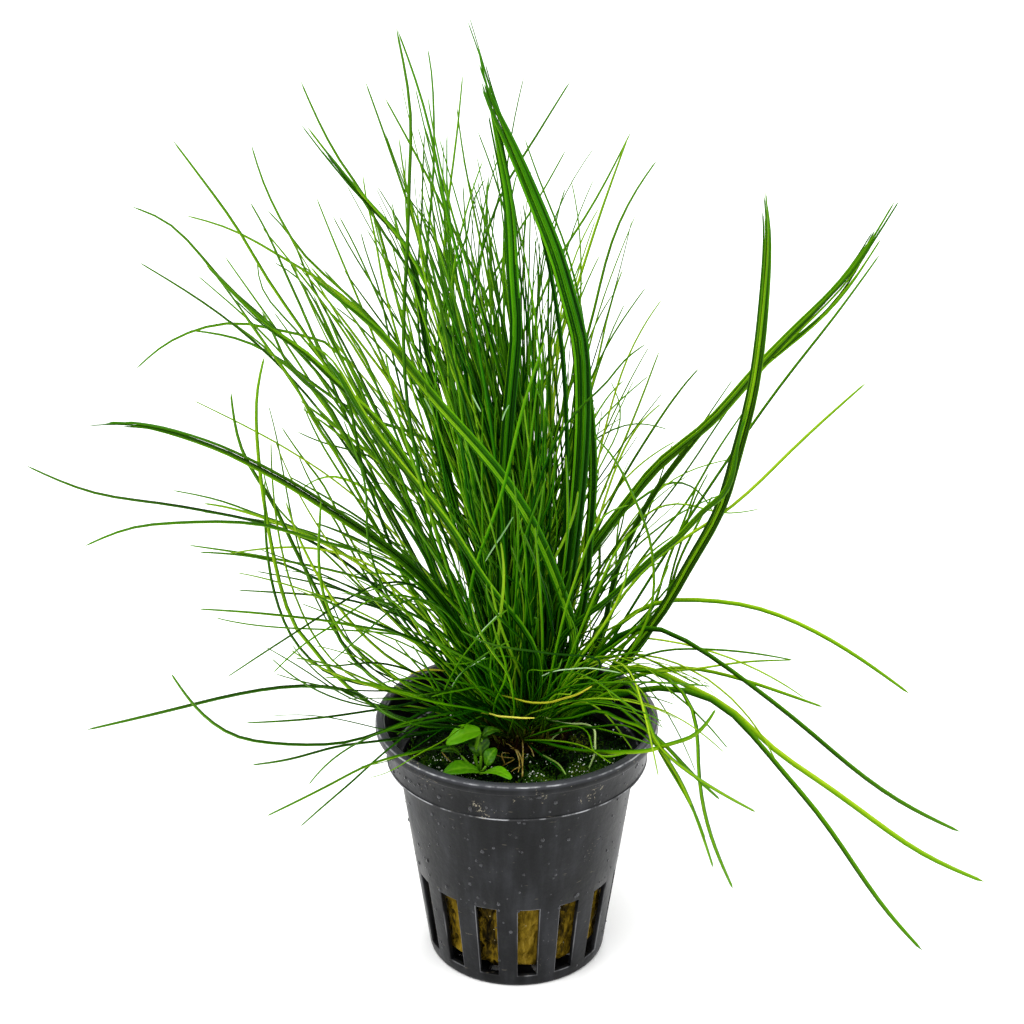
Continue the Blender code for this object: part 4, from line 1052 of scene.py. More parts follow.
def two_skins(rows, columns, first=0):
    """The faces that close a plate whose upper and then lower skin are grids of points, row by row."""
    width = columns + 1
    size = (rows + 1) * width
    faces = []
    for row in range(rows):
        for column in range(columns):
            a = first + row * width + column
            b = a + size
            faces.append((a, a + width, a + width + 1, a + 1))
            faces.append((b, b + 1, b + width + 1, b + width))
    edge = list(range(width)) + [row * width + columns for row in range(1, rows + 1)]
    edge += [rows * width + column for column in range(columns - 1, -1, -1)]
    edge += [row * width for row in range(rows - 1, 0, -1)]
    for here, there in zip(edge, edge[1:] + edge[:1]):
        faces.append((first + here, first + there, first + size + there, first + size + here))
    return faces


def shorten(lines, ends):
    """Each line cut at a share of its length, with as many points as before."""
    share = stations(lines.shape[1])
    return np.array([np.stack([np.interp(share * end, share, line[:, axis]) for axis in range(3)], axis=1)
                     for line, end in zip(lines, ends)])


def lift_over_rim(lines):
    """Raise leaves that would pass through the pot's lip, in a soft hump where they cross it."""
    share = stations(lines.shape[1])
    for line in lines:
        reach = np.hypot(line[:, 0], line[:, 1])
        outside = np.nonzero(reach > 26.0)[0]
        if len(outside) == 0:
            continue
        cross = outside[0]
        zone = (reach > 24.0) & (reach < LIP_REACH)
        zone[cross] = True
        short = (POT_HEIGHT + 0.9 - line[zone, 2]).max()
        if short > 0:
            line[:, 2] += short * 1.05 * np.exp(-((share - share[cross]) / 0.16) ** 2)
    return lines


class PotSettings(bpy.types.PropertyGroup):
    """The pot's finish."""
    edge: FloatProperty(name="Edge rounding", description="Radius of the pot's small edges",
                        default=0.12 * MM, unit="LENGTH")
    drops: IntProperty(name="Drops", description="Drops of water on the pot's wall", default=420, min=0)


class GroundSettings(bpy.types.PropertyGroup):
    """The plug and the growth on it."""
    sprigs: IntProperty(name="Moss sprigs", description="Sprigs on a full cushion of moss", default=900,
                        min=0)
    carpet: IntProperty(name="Carpet", description="Sprigs of moss all over the plug", default=3600, min=0)
    sheaths: IntProperty(name="Sheaths", description="Old leaf sheaths on the crown", default=220, min=0)
    sparkles: IntProperty(name="Sparkles", description="Drops of water on the moss", default=260, min=0)


class LeafSettings(bpy.types.PropertyGroup):
    """The grass."""
    width: FloatProperty(name="Leaf width", description="Width of a middling leaf", default=0.62 * MM,
                         unit="LENGTH")
    spread: FloatProperty(name="Spread", description="How far a leaf's tip strays from its lock",
                          default=4.0 * MM, unit="LENGTH")


class StageSettings(bpy.types.PropertyGroup):
    """Floor and light."""
    floor: FloatVectorProperty(name="Floor colour", description="Colour of the floor", subtype="COLOR",
                               default=linear("#fbfbfb")[:3])
    sky: FloatProperty(name="Surrounding light", description="Strength of the light all round",
                       default=0.95)


class HAIRGRASS_OT_pot(bpy.types.Operator):
    """Make the net pot"""
    bl_idname = "hairgrass.pot"
    bl_label = "Net pot"

    def execute(self, context):
        pot = lathe("pot", pot_outline(), SLOTS * (SLOT_STEPS + RIB_STEPS))
        open_slots(pot)
        open_floor(pot)
        edges = pot.modifiers.new("Edges", "BEVEL")
        edges.width = context.scene.hairgrass_pot.edge
        edges.segments = 2
        edges.limit_method = "ANGLE"
        edges.angle_limit = math.radians(50)
        settle(pot, moulded_plastic(), "pot_plastic", "net_pot")
        bpy.ops.object.shade_smooth_by_angle(angle=math.radians(35))
        return {"FINISHED"}


class HAIRGRASS_OT_drops(bpy.types.Operator):
    """Scatter drops of water on the pot's wall and collar"""
    bl_idname = "hairgrass.drops"
    bl_label = "Drops on the pot"

    def find_place(self, rng):
        """An angle and a height on the collar or on the wall, clear of the slots, and the radius there."""
        on_collar = rng.random() < 0.35
        height = rng.uniform(43.4, 48.0) if on_collar else rng.uniform(18.0, 41.0)
        if not on_collar and rng.random() < 0.2:
            height = rng.uniform(1.0, 18.0)
        angle = rng.uniform(0, 360)
        pitch = 360 / SLOTS
        off = (angle + 90 - SLOT_TURN + pitch / 2) % pitch - pitch / 2
        if height < SLOT_TOP + 0.6 and abs(off) < 7.4:
            angle += pitch / 2
        radius = COLLAR_RADIUS + (height - 43.0) * COLLAR_FLARE if on_collar else wall_radius(height)
        return angle, height, radius

    def execute(self, context):
        rng = np.random.default_rng(11)
        points = []
        faces = []
        sides = 10
        up = np.array((0.0, 0.0, 1.0))
        for number in range(context.scene.hairgrass_pot.drops):
            angle, height, radius = self.find_place(rng)
            size = 0.15 + 0.32 * rng.random() ** 2
            outward = around(angle, 1.0)
            aside = around(angle + 90, 1.0)
            centre = outward * (radius - 0.04) + up * height
            start = len(points)
            for wide, high in ((1.0, 0.0), (0.86, 0.42), (0.5, 0.72)):
                for corner in range(sides):
                    turn = 2 * math.pi * corner / sides
                    drop = 1.0 + (0.45 if math.sin(turn) > 0 else 0.0) * abs(math.sin(turn)) * size
                    points.append(centre + aside * size * wide * math.cos(turn)
                                  + up * size * wide * drop * math.sin(turn) + outward * size * high * 0.75)
            points.append(centre + outward * size * 0.82 * 0.75)
            last = start + 2 * sides
            for low in (start, start + sides):
                faces += [(low + i, low + (i + 1) % sides, low + sides + (i + 1) % sides, low + sides + i)
                          for i in range(sides)]
            faces += [(last + i, last + (i + 1) % sides, last + sides) for i in range(sides)]
            faces.append(tuple(start + i for i in reversed(range(sides))))
        water = wet_drop("drop_on_plastic", "#0c0d0e", "#3a3b3e")
        settle(mesh_piece("pot_drops", points, faces), water, "pot_plastic")
        return {"FINISHED"}


class HAIRGRASS_OT_plug(bpy.types.Operator):
    """Make the plug of mineral wool"""
    bl_idname = "hairgrass.plug"
    bl_label = "Wool plug"

    def outline(self):
        """Half section of the plug, from its narrow foot up its side and in over its top."""
        heights = [1.75, 1.9, 2.2, 2.6, *np.arange(3.0, 21.0, 0.45), 24.0, 31.0, 38.0, 40.6, 41.6, 42.1]
        side = []
        for height in heights:
            radius = wall_radius(height) - WALL - 0.7
            radius -= 2.8 * max(0.0, (4.6 - height) / 2.9) ** 1.6
            radius -= 1.3 * max(0.0, (height - 41.0) / 1.1) ** 2
            side.append((radius, height))
        return side + [(19.4, 42.2), (17.0, 42.25), (13.0, 42.25), (9.0, 42.2), (4.0, 42.2)]

    def dent(self, plug):
        """Lumps on the plug's top, and fissures and ragged fibres down its side as high as the slots."""
        for vertex in plug.data.vertices:
            x, y, z = vertex.co / MM
            reach = math.hypot(x, y)
            turn = math.atan2(y, x)
            if z > 41.9:
                lumps = noise.noise(Vector((x, y, 0.0)) / 2.2)
                lumps += 0.5 * noise.noise(Vector((x, y, 3.0)) / 0.9)
                vertex.co.z += min(0.0, -0.5 + lumps * 0.5) * MM
                continue
            if z > 21.5:
                continue
            spot = Vector((math.cos(turn) * reach / 1.6, math.sin(turn) * reach / 1.6, z / 7.0))
            crack = abs(noise.noise(spot))
            fissure = max(0.0, 0.16 - crack) / 0.16
            ragged = noise.noise(Vector((x, y, z * 0.8)) / 2.1)
            grain = noise.noise(Vector((x, y, z * 0.7)) / 0.7)
            dent = 1.25 * fissure ** 1.5 + 0.55 * max(0.0, ragged) + 0.22 * grain
            dent += max(0.0, 4.6 - z) * (0.5 + noise.noise(Vector((x, y, 9.0)) / 2.4)) * 0.5
            shrink = (reach - max(-0.3, dent)) / reach
            vertex.co.x *= shrink
            vertex.co.y *= shrink

    def execute(self, context):
        plug = lathe("plug", self.outline(), 200)
        self.dent(plug)
        settle(plug, mineral_wool(), "mineral_wool", "rockwool_plug")
        bpy.ops.object.shade_smooth()
        rng = np.random.default_rng(29)
        glints = []
        for number in range(90):
            height = rng.uniform(5.5, 18.5)
            angle = rng.uniform(0, 360)
            glints.append(around(angle, wall_radius(height) - WALL - rng.uniform(0.7, 1.1), height))
        # The wool's drops are painted pale cream as glints
        water = wet_drop("wool_drop_painted_glint", "#f0e6c4", "#8c7838")
        settle(beads("wool_glints", glints, rng), water, "mineral_wool")
        return {"FINISHED"}


class HAIRGRASS_OT_moss(bpy.types.Operator):
    """Cover the front of the plug with cushions of moss and strew drops of water on them"""
    bl_idname = "hairgrass.moss"
    bl_label = "Moss"

    # Start and end angle, inner and outer radius, share of sprigs
    cushions = {
        "moss_left": (186, 243, 12.6, 21.0, 1.0),
        "moss_front": (276, 304, 8.0, 20.8, 0.8),
        "moss_right": (302, 356, 11.6, 21.0, 1.0),
        "moss_yellow": (250, 278, 12.4, 20.6, 0.7),
    }

    def cushion(self, name, start, end, inner, outer, rng, sprigs):
        """A lumpy cushion with hundreds of sprigs on its skin."""
        rows, columns = 26, 44
        tops = np.empty((rows + 1, columns + 1, 3))
        for row in range(rows + 1):
            for column in range(columns + 1):
                u = column / columns
                v = row / rows
                shorter = 1.0 - abs(2 * v - 1) ** 3 * 0.2
                narrower = 1.0 - abs(2 * u - 1) ** 3 * 0.35
                angle = (start + end) / 2 + (u - 0.5) * (end - start) * shorter
                reach = (inner + outer) / 2 + (v - 0.5) * (outer - inner) * narrower
                x, y, z = around(angle, reach, PLUG_TOP - 0.2)
                swell = (math.sin(math.pi * u) * math.sin(math.pi * v)) ** 0.45
                lump = noise.noise(Vector((x, y, 3.0)) / 2.4)
                lump += 0.5 * noise.noise(Vector((x, y, 7.0)) / 0.9)
                tops[row, column] = x, y, z + swell * (1.5 + 0.9 * lump)
        grid = tops.reshape(-1, 3)
        floor = grid.copy()
        floor[:, 2] = PLUG_TOP - 0.4
        points = [*grid, *floor]
        faces = two_skins(rows, columns)
        picks = rng.integers(1, rows, sprigs), rng.integers(1, columns, sprigs)
        self.sprig(tops[picks], rng, points, faces)
        return mesh_piece(name + "_cushion", points, faces), tops

    def sprig(self, spots, rng, points, faces):
        """Add a short pointed leaf of moss at each of the spots."""
        for spot in spots:
            lean = rng.normal(size=3) * (0.8, 0.8, 0.45) + (0.0, 0.0, 0.75)
            lean /= np.linalg.norm(lean)
            long = rng.uniform(0.5, 1.25)
            side = np.cross(lean, rng.normal(size=3))
            side /= np.linalg.norm(side)
            other = np.cross(lean, side)
            wide = rng.uniform(0.1, 0.2)
            foot = spot - lean * 0.15 + rng.normal(size=3) * (0.18, 0.18, 0.0)
            corners = [(side * math.cos(turn) + other * math.sin(turn)) * wide for turn in (0.0, 2.1, 4.2)]
            s = len(points)
            points += [foot + corner * 0.6 for corner in corners]
            points += [foot + lean * long * 0.5 + corner for corner in corners]
            points.append(foot + lean * long)
            faces += [(s + 2, s + 1, s), (s, s + 1, s + 4, s + 3), (s + 1, s + 2, s + 5, s + 4),
                      (s + 2, s, s + 3, s + 5), (s + 3, s + 4, s + 6), (s + 4, s + 5, s + 6),
                      (s + 5, s + 3, s + 6)]

    def carpet(self, count, rng):
        """Spots of moss all over the plug, which climb the crown's edge and leave its middle bare."""
        reach = np.sqrt(rng.uniform(0.0, PLUG_RADIUS ** 2, count))
        turn = rng.uniform(0, 2 * math.pi, count)
        height = rng.uniform(42.0, 42.5, count)
        spots = np.stack((reach * np.cos(turn), reach * np.sin(turn), height), axis=1)
        from_crown = np.hypot(spots[:, 0] - CROWN_CENTRE[0], spots[:, 1] - CROWN_CENTRE[1])
        climb = (CROWN_RADIUS - 1.2, CROWN_RADIUS + 0.4)
        spots[:, 2] += np.interp(from_crown, climb, (CROWN_HEIGHT, 0.0))
        return spots[from_crown > CROWN_RADIUS - 3.5]

    def execute(self, context):
        ground = context.scene.hairgrass_ground
        rng = np.random.default_rng(23)
        # The near-black low stops of both mosses are painted shade between the sprigs
        dark = moss_skin("wet_moss", [(0.36, "#040602"), (0.46, "#132c08"), (0.54, "#2a500e"),
                                      (0.62, "#506616"), (0.72, "#787a26")])
        bright = moss_skin("yellow_moss", [(0.36, "#101a04"), (0.46, "#46560c"), (0.56, "#7c8a1a"),
                                           (0.7, "#b0b844")])
        drops = []
        for name, (start, end, inner, outer, share) in self.cushions.items():
            sprigs = int(ground.sprigs * share)
            piece, tops = self.cushion(name, start, end, inner, outer, rng, sprigs)
            yellow = name == "moss_yellow"
            settle(piece, bright if yellow else dark, "moss_yellow" if yellow else "moss", name)
            grid = tops[2:-2, 2:-2].reshape(-1, 3)
            drops += list(grid[rng.integers(0, len(grid), int(ground.sparkles * share / 3.5))])
        spots = self.carpet(ground.carpet, rng)
        points = []
        faces = []
        self.sprig(spots, rng, points, faces)
        settle(mesh_piece("moss_carpet", points, faces), dark, "moss")
        wettest = [spot for spot in spots if noise.noise(Vector(spot) / 2.6) > 0.02]
        drops += [wettest[i] + (0.0, 0.0, 0.2) for i in rng.integers(0, len(wettest), ground.sparkles)]
        centres = [spot + (0.0, 0.0, 0.25 + rng.uniform(0, 0.3)) for spot in drops]
        # The moss's drops are painted near white as glints
        water = wet_drop("moss_drop_painted_glint", "#f6f8f2", "#b4bea8")
        settle(beads("moss_drops", centres, rng), water, "moss")
        return {"FINISHED"}


class HAIRGRASS_OT_crown(bpy.types.Operator):
    """Make the crown that the leaves grow from, with its old sheaths"""
    bl_idname = "hairgrass.crown"
    bl_label = "Crown"

    def execute(self, context):
        rng = np.random.default_rng(31)
        top = CROWN_FOOT + CROWN_HEIGHT
        outline = [(8.4, CROWN_FOOT - 0.2), (9.3, CROWN_FOOT + 0.3), (9.5, 43.3), (9.0, 43.9), (7.6, 44.3),
                   (5.0, top), (1.0, top + 0.1)]
        mound = lathe("crown_mound", outline, 96)
        for vertex in mound.data.vertices:
            spot = vertex.co / MM
            lump = noise.noise(spot / 1.6) + 0.6 * noise.noise(spot / 0.7)
            vertex.co += Vector((spot.x, spot.y, 0.0)).normalized() * lump * 0.6 * MM
            if spot.z > CROWN_FOOT:
                vertex.co.z += lump * 0.3 * MM
            vertex.co += Vector((*CROWN_CENTRE, 0.0)) * MM
        bark = plant_skin("crown_bark", [(0.3, "#050302"), (0.5, "#140c05"), (0.65, "#2a1a0a"),
                                         (0.8, "#4a3216")], 0.6)
        settle(mound, bark, "crown", "crown")
        bpy.ops.object.shade_smooth()
        count = context.scene.hairgrass_ground.sheaths
        lines = []
        for number in range(count):
            angle = rng.uniform(0, 360)
            reach = 9.2 * math.sqrt(rng.random())
            foot = np.array((*CROWN_CENTRE, 0.0)) + around(angle, reach, CROWN_FOOT + 0.9)
            lean = around(angle + rng.normal() * 25, 0.5 + 0.5 * reach / 9.0 + rng.normal() * 0.3)
            long = rng.uniform(2.0, 5.5)
            tip = foot + lean * long * 0.5 + (0, 0, long * rng.uniform(0.6, 1.0))
            bend = (foot + tip) / 2 + rng.normal(size=3) * 0.3
            lines.append(smooth_line([foot, bend, tip], 6))
        husk = leaf_skin("old_sheath", [(0.1, "#140a04"), (0.4, "#3c1d0c"), (0.65, "#4a4412"),
                                        (0.95, "#6a7a1c")], "#0c0703", "#5a6218", 0.6, 0.1)
        piece = leaves("crown_sheaths", lines, rng.uniform(0.35, 0.75, count), rng.random(count), 4)
        settle(piece, husk, "crown")
        return {"FINISHED"}


class HAIRGRASS_OT_tufts(bpy.types.Operator):
    """Grow the tufts' leaves along the locks of their solids"""
    bl_idname = "hairgrass.tufts"
    bl_label = "Tufts"

    def read_locks(self, name):
        """The middle lines of a tuft's locks, each from the middle of the tuft's foot."""
        found, spots = read_lines(name, 3)
        start = np.mean([middles[0] for middles in found], axis=0)
        clump = spots[np.linalg.norm(spots - start, axis=1) < CLUMP_REACH]
        foot = clump[clump[:, 2] < clump[:, 2].min() + 0.1].mean(axis=0)
        return np.array([smooth_line(np.vstack((foot, middles[1:])), LINE_POINTS) for middles in found])

    def sort_seen(self, locks):
        """Give each leaf of the photograph to the tuft whose lock ends nearest to it, of those that lead it
        clear of the pot, and say which locks such a leaf stands for."""
        rng = np.random.default_rng(77)
        seen = {name: [] for name in locks}
        shown = {name: set() for name in locks}
        for text in SEEN.strip().splitlines():
            pixels = readings(text)
            far = {(name, i): np.linalg.norm(to_pixels(line[-1]) - pixels[-1])
                   for name, lines in locks.items() for i, line in enumerate(lines)}
            order = sorted(far, key=far.get)
            if far[order[0]] < SHOWN_REACH:
                shown[order[0][0]].add(order[0][1])
            wide = 0.48 + 0.6 * min(1.0, length_of(pixels) / 450) ** 1.5
            if pixels[-1].min() > LOW_RIGHT:
                wide *= LOW_RIGHT_WIDER
            elif pixels[-1].max() < HIGH_LEFT:
                wide *= HIGH_LEFT_WIDER
            deeper = rng.uniform(0.75, 1.15)
            tries = {(name, i): seen_line(pixels, locks[name][i], deeper, LINE_POINTS)
                     for name, i in order[:50]}
            best = min(tries, key=lambda key: (max(1, clashes(tries[key])), far[key]))
            seen[best[0]].append((keep_clear(tries[best]), wide))
        return seen, shown

    def strand_views(self):
        """Where each strand appears, how far away it is there, and how many pixels it keeps free."""
        views = []
        for name, width, pale, text in STRANDS:
            middle = strand_middle(name, text, 90)[12:]
            depths = np.linalg.norm(middle - viewer()[0], axis=1)
            views.append((to_pixels(middle), depths, width * 2.2 + 2.0))
        return views

    def grow(self, own, near, count, ends, spread, rng):
        """Lines of a tuft's leaves: the first ones follow its locks, the others run between two locks."""
        share = stations(LINE_POINTS)[None, :, None]
        first = own[np.arange(count) % len(own)]
        others = np.concatenate((own, near))
        second = others[rng.integers(0, len(others), count)]
        mix = rng.uniform(0.05, 0.62, count)
        mix[:len(own)] = 0.0
        lines = first * (1 - mix)[:, None, None] + second * mix[:, None, None]
        root = first[:, :1] - lines[:, :1]
        lines = lines + root * (1 - share) ** 3
        lengths = rng.uniform(*ends, count)
        lengths[:len(own)] = 1.0
        lines = shorten(lines, lengths)
        stray = np.full(count, spread)
        stray[:len(own)] = 0.0
        drift = rng.normal(size=(count, 1, 3)) * stray[:, None, None]
        sway = rng.normal(size=(count, 1, 3)) * stray[:, None, None] * 0.4
        bow = rng.normal(size=(count, 1, 3)) * stray[:, None, None] * 0.5
        lines = (lines + drift * share ** 1.4 + sway * np.sin(share * math.pi * 1.6)
                 + bow * np.sin(share * math.pi))
        scatter = rng.normal(size=(count, 1, 3)) * (1.4, 1.4, 0.2)
        return lines + scatter * (1 - share) ** 2

    def execute(self, context):
        settings = context.scene.hairgrass_leaves
        green = leaf_skin("grass_leaf", [(0.0, "#032800"), (0.3, "#105200"), (0.6, "#3a8200"),
                                         (0.85, "#66a00c"), (1.0, "#88b820")],
                          "#4c4c10", "#4c800c", 0.5, 0.03)
        locks = {name: self.read_locks(name) for name in TUFT_ORDER + MIDDLE_TUFTS}
        seen, shown = self.sort_seen(locks)
        strands = self.strand_views()
        ring = len(TUFT_ORDER)
        for number, (name, own) in enumerate(locks.items()):
            rng = np.random.default_rng(100 + number)
            middle = name in MIDDLE_TUFTS
            beside = MIDDLE_TUFTS if middle else (TUFT_ORDER[(number + 1) % ring],
                                                  TUFT_ORDER[(number - 1) % ring])
            near = np.concatenate([locks[other] for other in beside])
            spread = settings.spread / MM * (1.2 if middle else 1.0)
            lines = self.grow(own, near, len(own) * FILL[name], ENDS.get(name, USUAL_ENDS), spread, rng)
            lines = np.delete(lines, list(shown[name]), axis=0)
            widths = settings.width / MM * rng.uniform(0.65, 1.3, len(lines)) * (0.74 if middle else 1.0)
            widths *= np.clip([length_of(line) / 75.0 for line in lines], 0.6, 1.0)
            lines = lift_over_rim(np.array([bend_behind(line, strands) for line in lines]))
            clear = [not in_the_way(line) for line in lines]
            lines = lines[clear]
            widths = widths[clear]
            # Painted light and shade: outer tufts are painted paler, the right-hand ones most, and the
            # middle ones not, as shaded
            paler = 0.0 if middle else 0.17 if "right" in name else 0.12
            tones = rng.beta(0.95, 1.7, len(lines)) + paler
            if seen[name]:
                seen_lines, seen_widths = zip(*seen[name])
                lines = np.concatenate((lines, seen_lines))
                widths = np.concatenate((widths, seen_widths))
                tones = np.concatenate((tones, rng.beta(1.6, 1.9, len(seen_lines)) * 0.76 + paler * 0.6))
            settle(leaves(name + "_leaves", lines, widths, tones), green, "leaf", name)
        return {"FINISHED"}


class HAIRGRASS_OT_strands(bpy.types.Operator):
    """Lay wet leaves side by side along each strand"""
    bl_idname = "hairgrass.strands"
    bl_label = "Wet strands"

    def execute(self, context):
        wet = leaf_skin("wet_leaf", [(0.0, "#083000"), (0.35, "#266404"), (0.65, "#4c9204"),
                                     (1.0, "#84b81c")], "#3c4a10", "#2e6a00", 0.4, 0.03)
        share = stations(30)
        for number, (name, width, pale, text) in enumerate(STRANDS):
            rng = np.random.default_rng(300 + number)
            middle = strand_middle(name, text, len(share))
            count = max(4, round(width * 3.0))
            full = width / 2 * (1.0 - 0.4 * (1.0 - share) ** 3) * (1.0 - 0.8 * share ** 7)
            across, out = (axis[0] for axis in frames_along(middle[None]))
            lines = []
            for leaf in range(count):
                place = (leaf + 0.5) / count * 2 - 1
                turn = rng.uniform(-0.3, 0.3) + 0.6 * share
                aside = place * full * 0.85 * np.cos(turn)
                depth = full * 0.35 * np.sin(turn + leaf * 2.1)
                line = middle + across * aside[:, None] + out * depth[:, None]
                line += rng.normal(size=3) * 0.5 * (share ** 10)[:, None]
                lines.append(line)
            ends = rng.uniform(0.93, 1.0, count)
            ends[count // 2] = 1.0
            lines = shorten(np.array(lines), ends)
            # Alternate leaves are painted lighter and darker, as painted highlights along the strand
            tones = pale + np.where(np.arange(count) % 2, -0.3, 0.16) + rng.uniform(-0.18, 0.18, count)
            widths = width / count * rng.uniform(1.35, 1.9, count)
            piece = leaves(name + f"_leaves_{number}", lines, widths, tones, 5, 0.9)
            settle(piece, wet, "wet_leaf", name)
        return {"FINISHED"}


class HAIRGRASS_OT_seedling(bpy.types.Operator):
    """Make the small broad-leaved seedling"""
    bl_idname = "hairgrass.seedling"
    bl_label = "Seedling"

    # Foot, tip, width, how far the blade leans to its right, tone
    blades = [
        ((-6.9, -7.6, 51.4), (-13.5, -9.8, 50.1), 4.4, 0.3, 0.85),
        ((-6.8, -6.6, 49.6), (-3.2, -4.8, 50.2), 2.2, -0.2, 0.3),
        ((-6.9, -8.2, 46.4), (-8.2, -5.2, 49.6), 4.4, 0.1, 0.2),
        ((-7.4, -10.2, 44.2), (-13.9, -13.3, 45.8), 4.2, 0.2, 0.6),
        ((-5.9, -10.1, 45.4), (-4.0, -8.0, 48.0), 2.7, -0.4, 0.45),
        ((-6.4, -10.6, 43.9), (-1.1, -14.9, 45.6), 3.4, 0.0, 0.85),
        ((-11.0, -8.3, 46.8), (-14.5, -8.7, 48.0), 2.0, 0.3, 0.2),
    ]
    # From the seedling's foot past a bend to each blade's own foot, and how thick
    foot = (-7.2, -8.0, 42.8)
    stalks = [((-8.0, -8.2, 46.0), (-7.0, -7.7, 51.3), 0.75),
              ((-6.8, -7.4, 46.2), (-6.8, -6.7, 49.5), 0.6),
              ((-7.0, -8.2, 44.6), (-6.9, -8.2, 46.6), 0.6),
              ((-7.7, -9.2, 43.6), (-8.2, -9.8, 44.6), 0.6),
              ((-6.4, -9.4, 44.0), (-5.9, -10.0, 45.3), 0.55),
              ((-7.0, -9.6, 43.2), (-6.5, -10.3, 43.9), 0.6),
              ((-9.6, -8.4, 45.2), (-10.9, -8.3, 46.7), 0.5)]

    def execute(self, context):
        points = []
        faces = []
        tones = []
        veins = []
        rows, columns = 14, 8
        for start, tip, width, lean, tone in self.blades:
            start = Vector(start)
            along = Vector(tip) - start
            side = along.cross(Vector((0.0, 0.0, 1.0))).normalized()
            side = (side + Vector((0.0, 0.0, lean))).normalized()
            up = side.cross(along).normalized()
            first = len(points)
            for skin in (0.26, 0.0):
                for row in range(rows + 1):
                    s = row / rows
                    full = math.sin(math.pi * (s * 0.93 + 0.04) ** 0.9) ** 0.7
                    for column in range(columns + 1):
                        v = column / columns * 2 - 1
                        cup = 0.2 * abs(v) ** 1.5 * width / 2 * full
                        rib = -0.16 * math.exp(-(v / 0.16) ** 2) * (1 - s)
                        ripple = 0.1 * math.sin(s * 9 + v * 2) * abs(v)
                        arch = 0.75 * math.sin(math.pi * s) - 0.5 * s ** 3
                        edge = 1.0 if abs(v) < 1 else 0.5
                        points.append(start + along * s + side * v * width / 2 * full
                                      + up * (arch + cup + rib + ripple + skin * edge))
                        tones.append(tone)
                        branch = abs(math.sin((s * 5.0 - abs(v) * 1.2) * math.pi)) ** 14 * 0.35
                        veins.append(max(0.55 * math.exp(-(v / 0.1) ** 2), branch))
            faces += two_skins(rows, columns, first)
        skin = seedling_skin()
        piece = mesh_piece("seedling_blades", points, faces, tone=tones, along=veins)
        take(piece)
        bpy.ops.object.mode_set(mode="EDIT")
        bpy.ops.mesh.select_all(action="SELECT")
        bpy.ops.mesh.normals_make_consistent(inside=False)
        bpy.ops.object.mode_set(mode="OBJECT")
        smoother = piece.modifiers.new("Smoother", "SUBSURF")
        smoother.levels = 1
        smoother.render_levels = 1
        settle(piece, skin, "seedling", *sorted(n for n in CAD if n.startswith("seedling_leaf")))
        lines = [smooth_line((self.foot, bend, top), 8) for bend, top, thick in self.stalks]
        widths = [thick for bend, top, thick in self.stalks]
        stem = leaves("seedling_stalks", lines, widths, [0.75] * len(lines), 6, 1.0, 0.6)
        settle(stem, skin, "seedling", "seedling_stem")
        return {"FINISHED"}


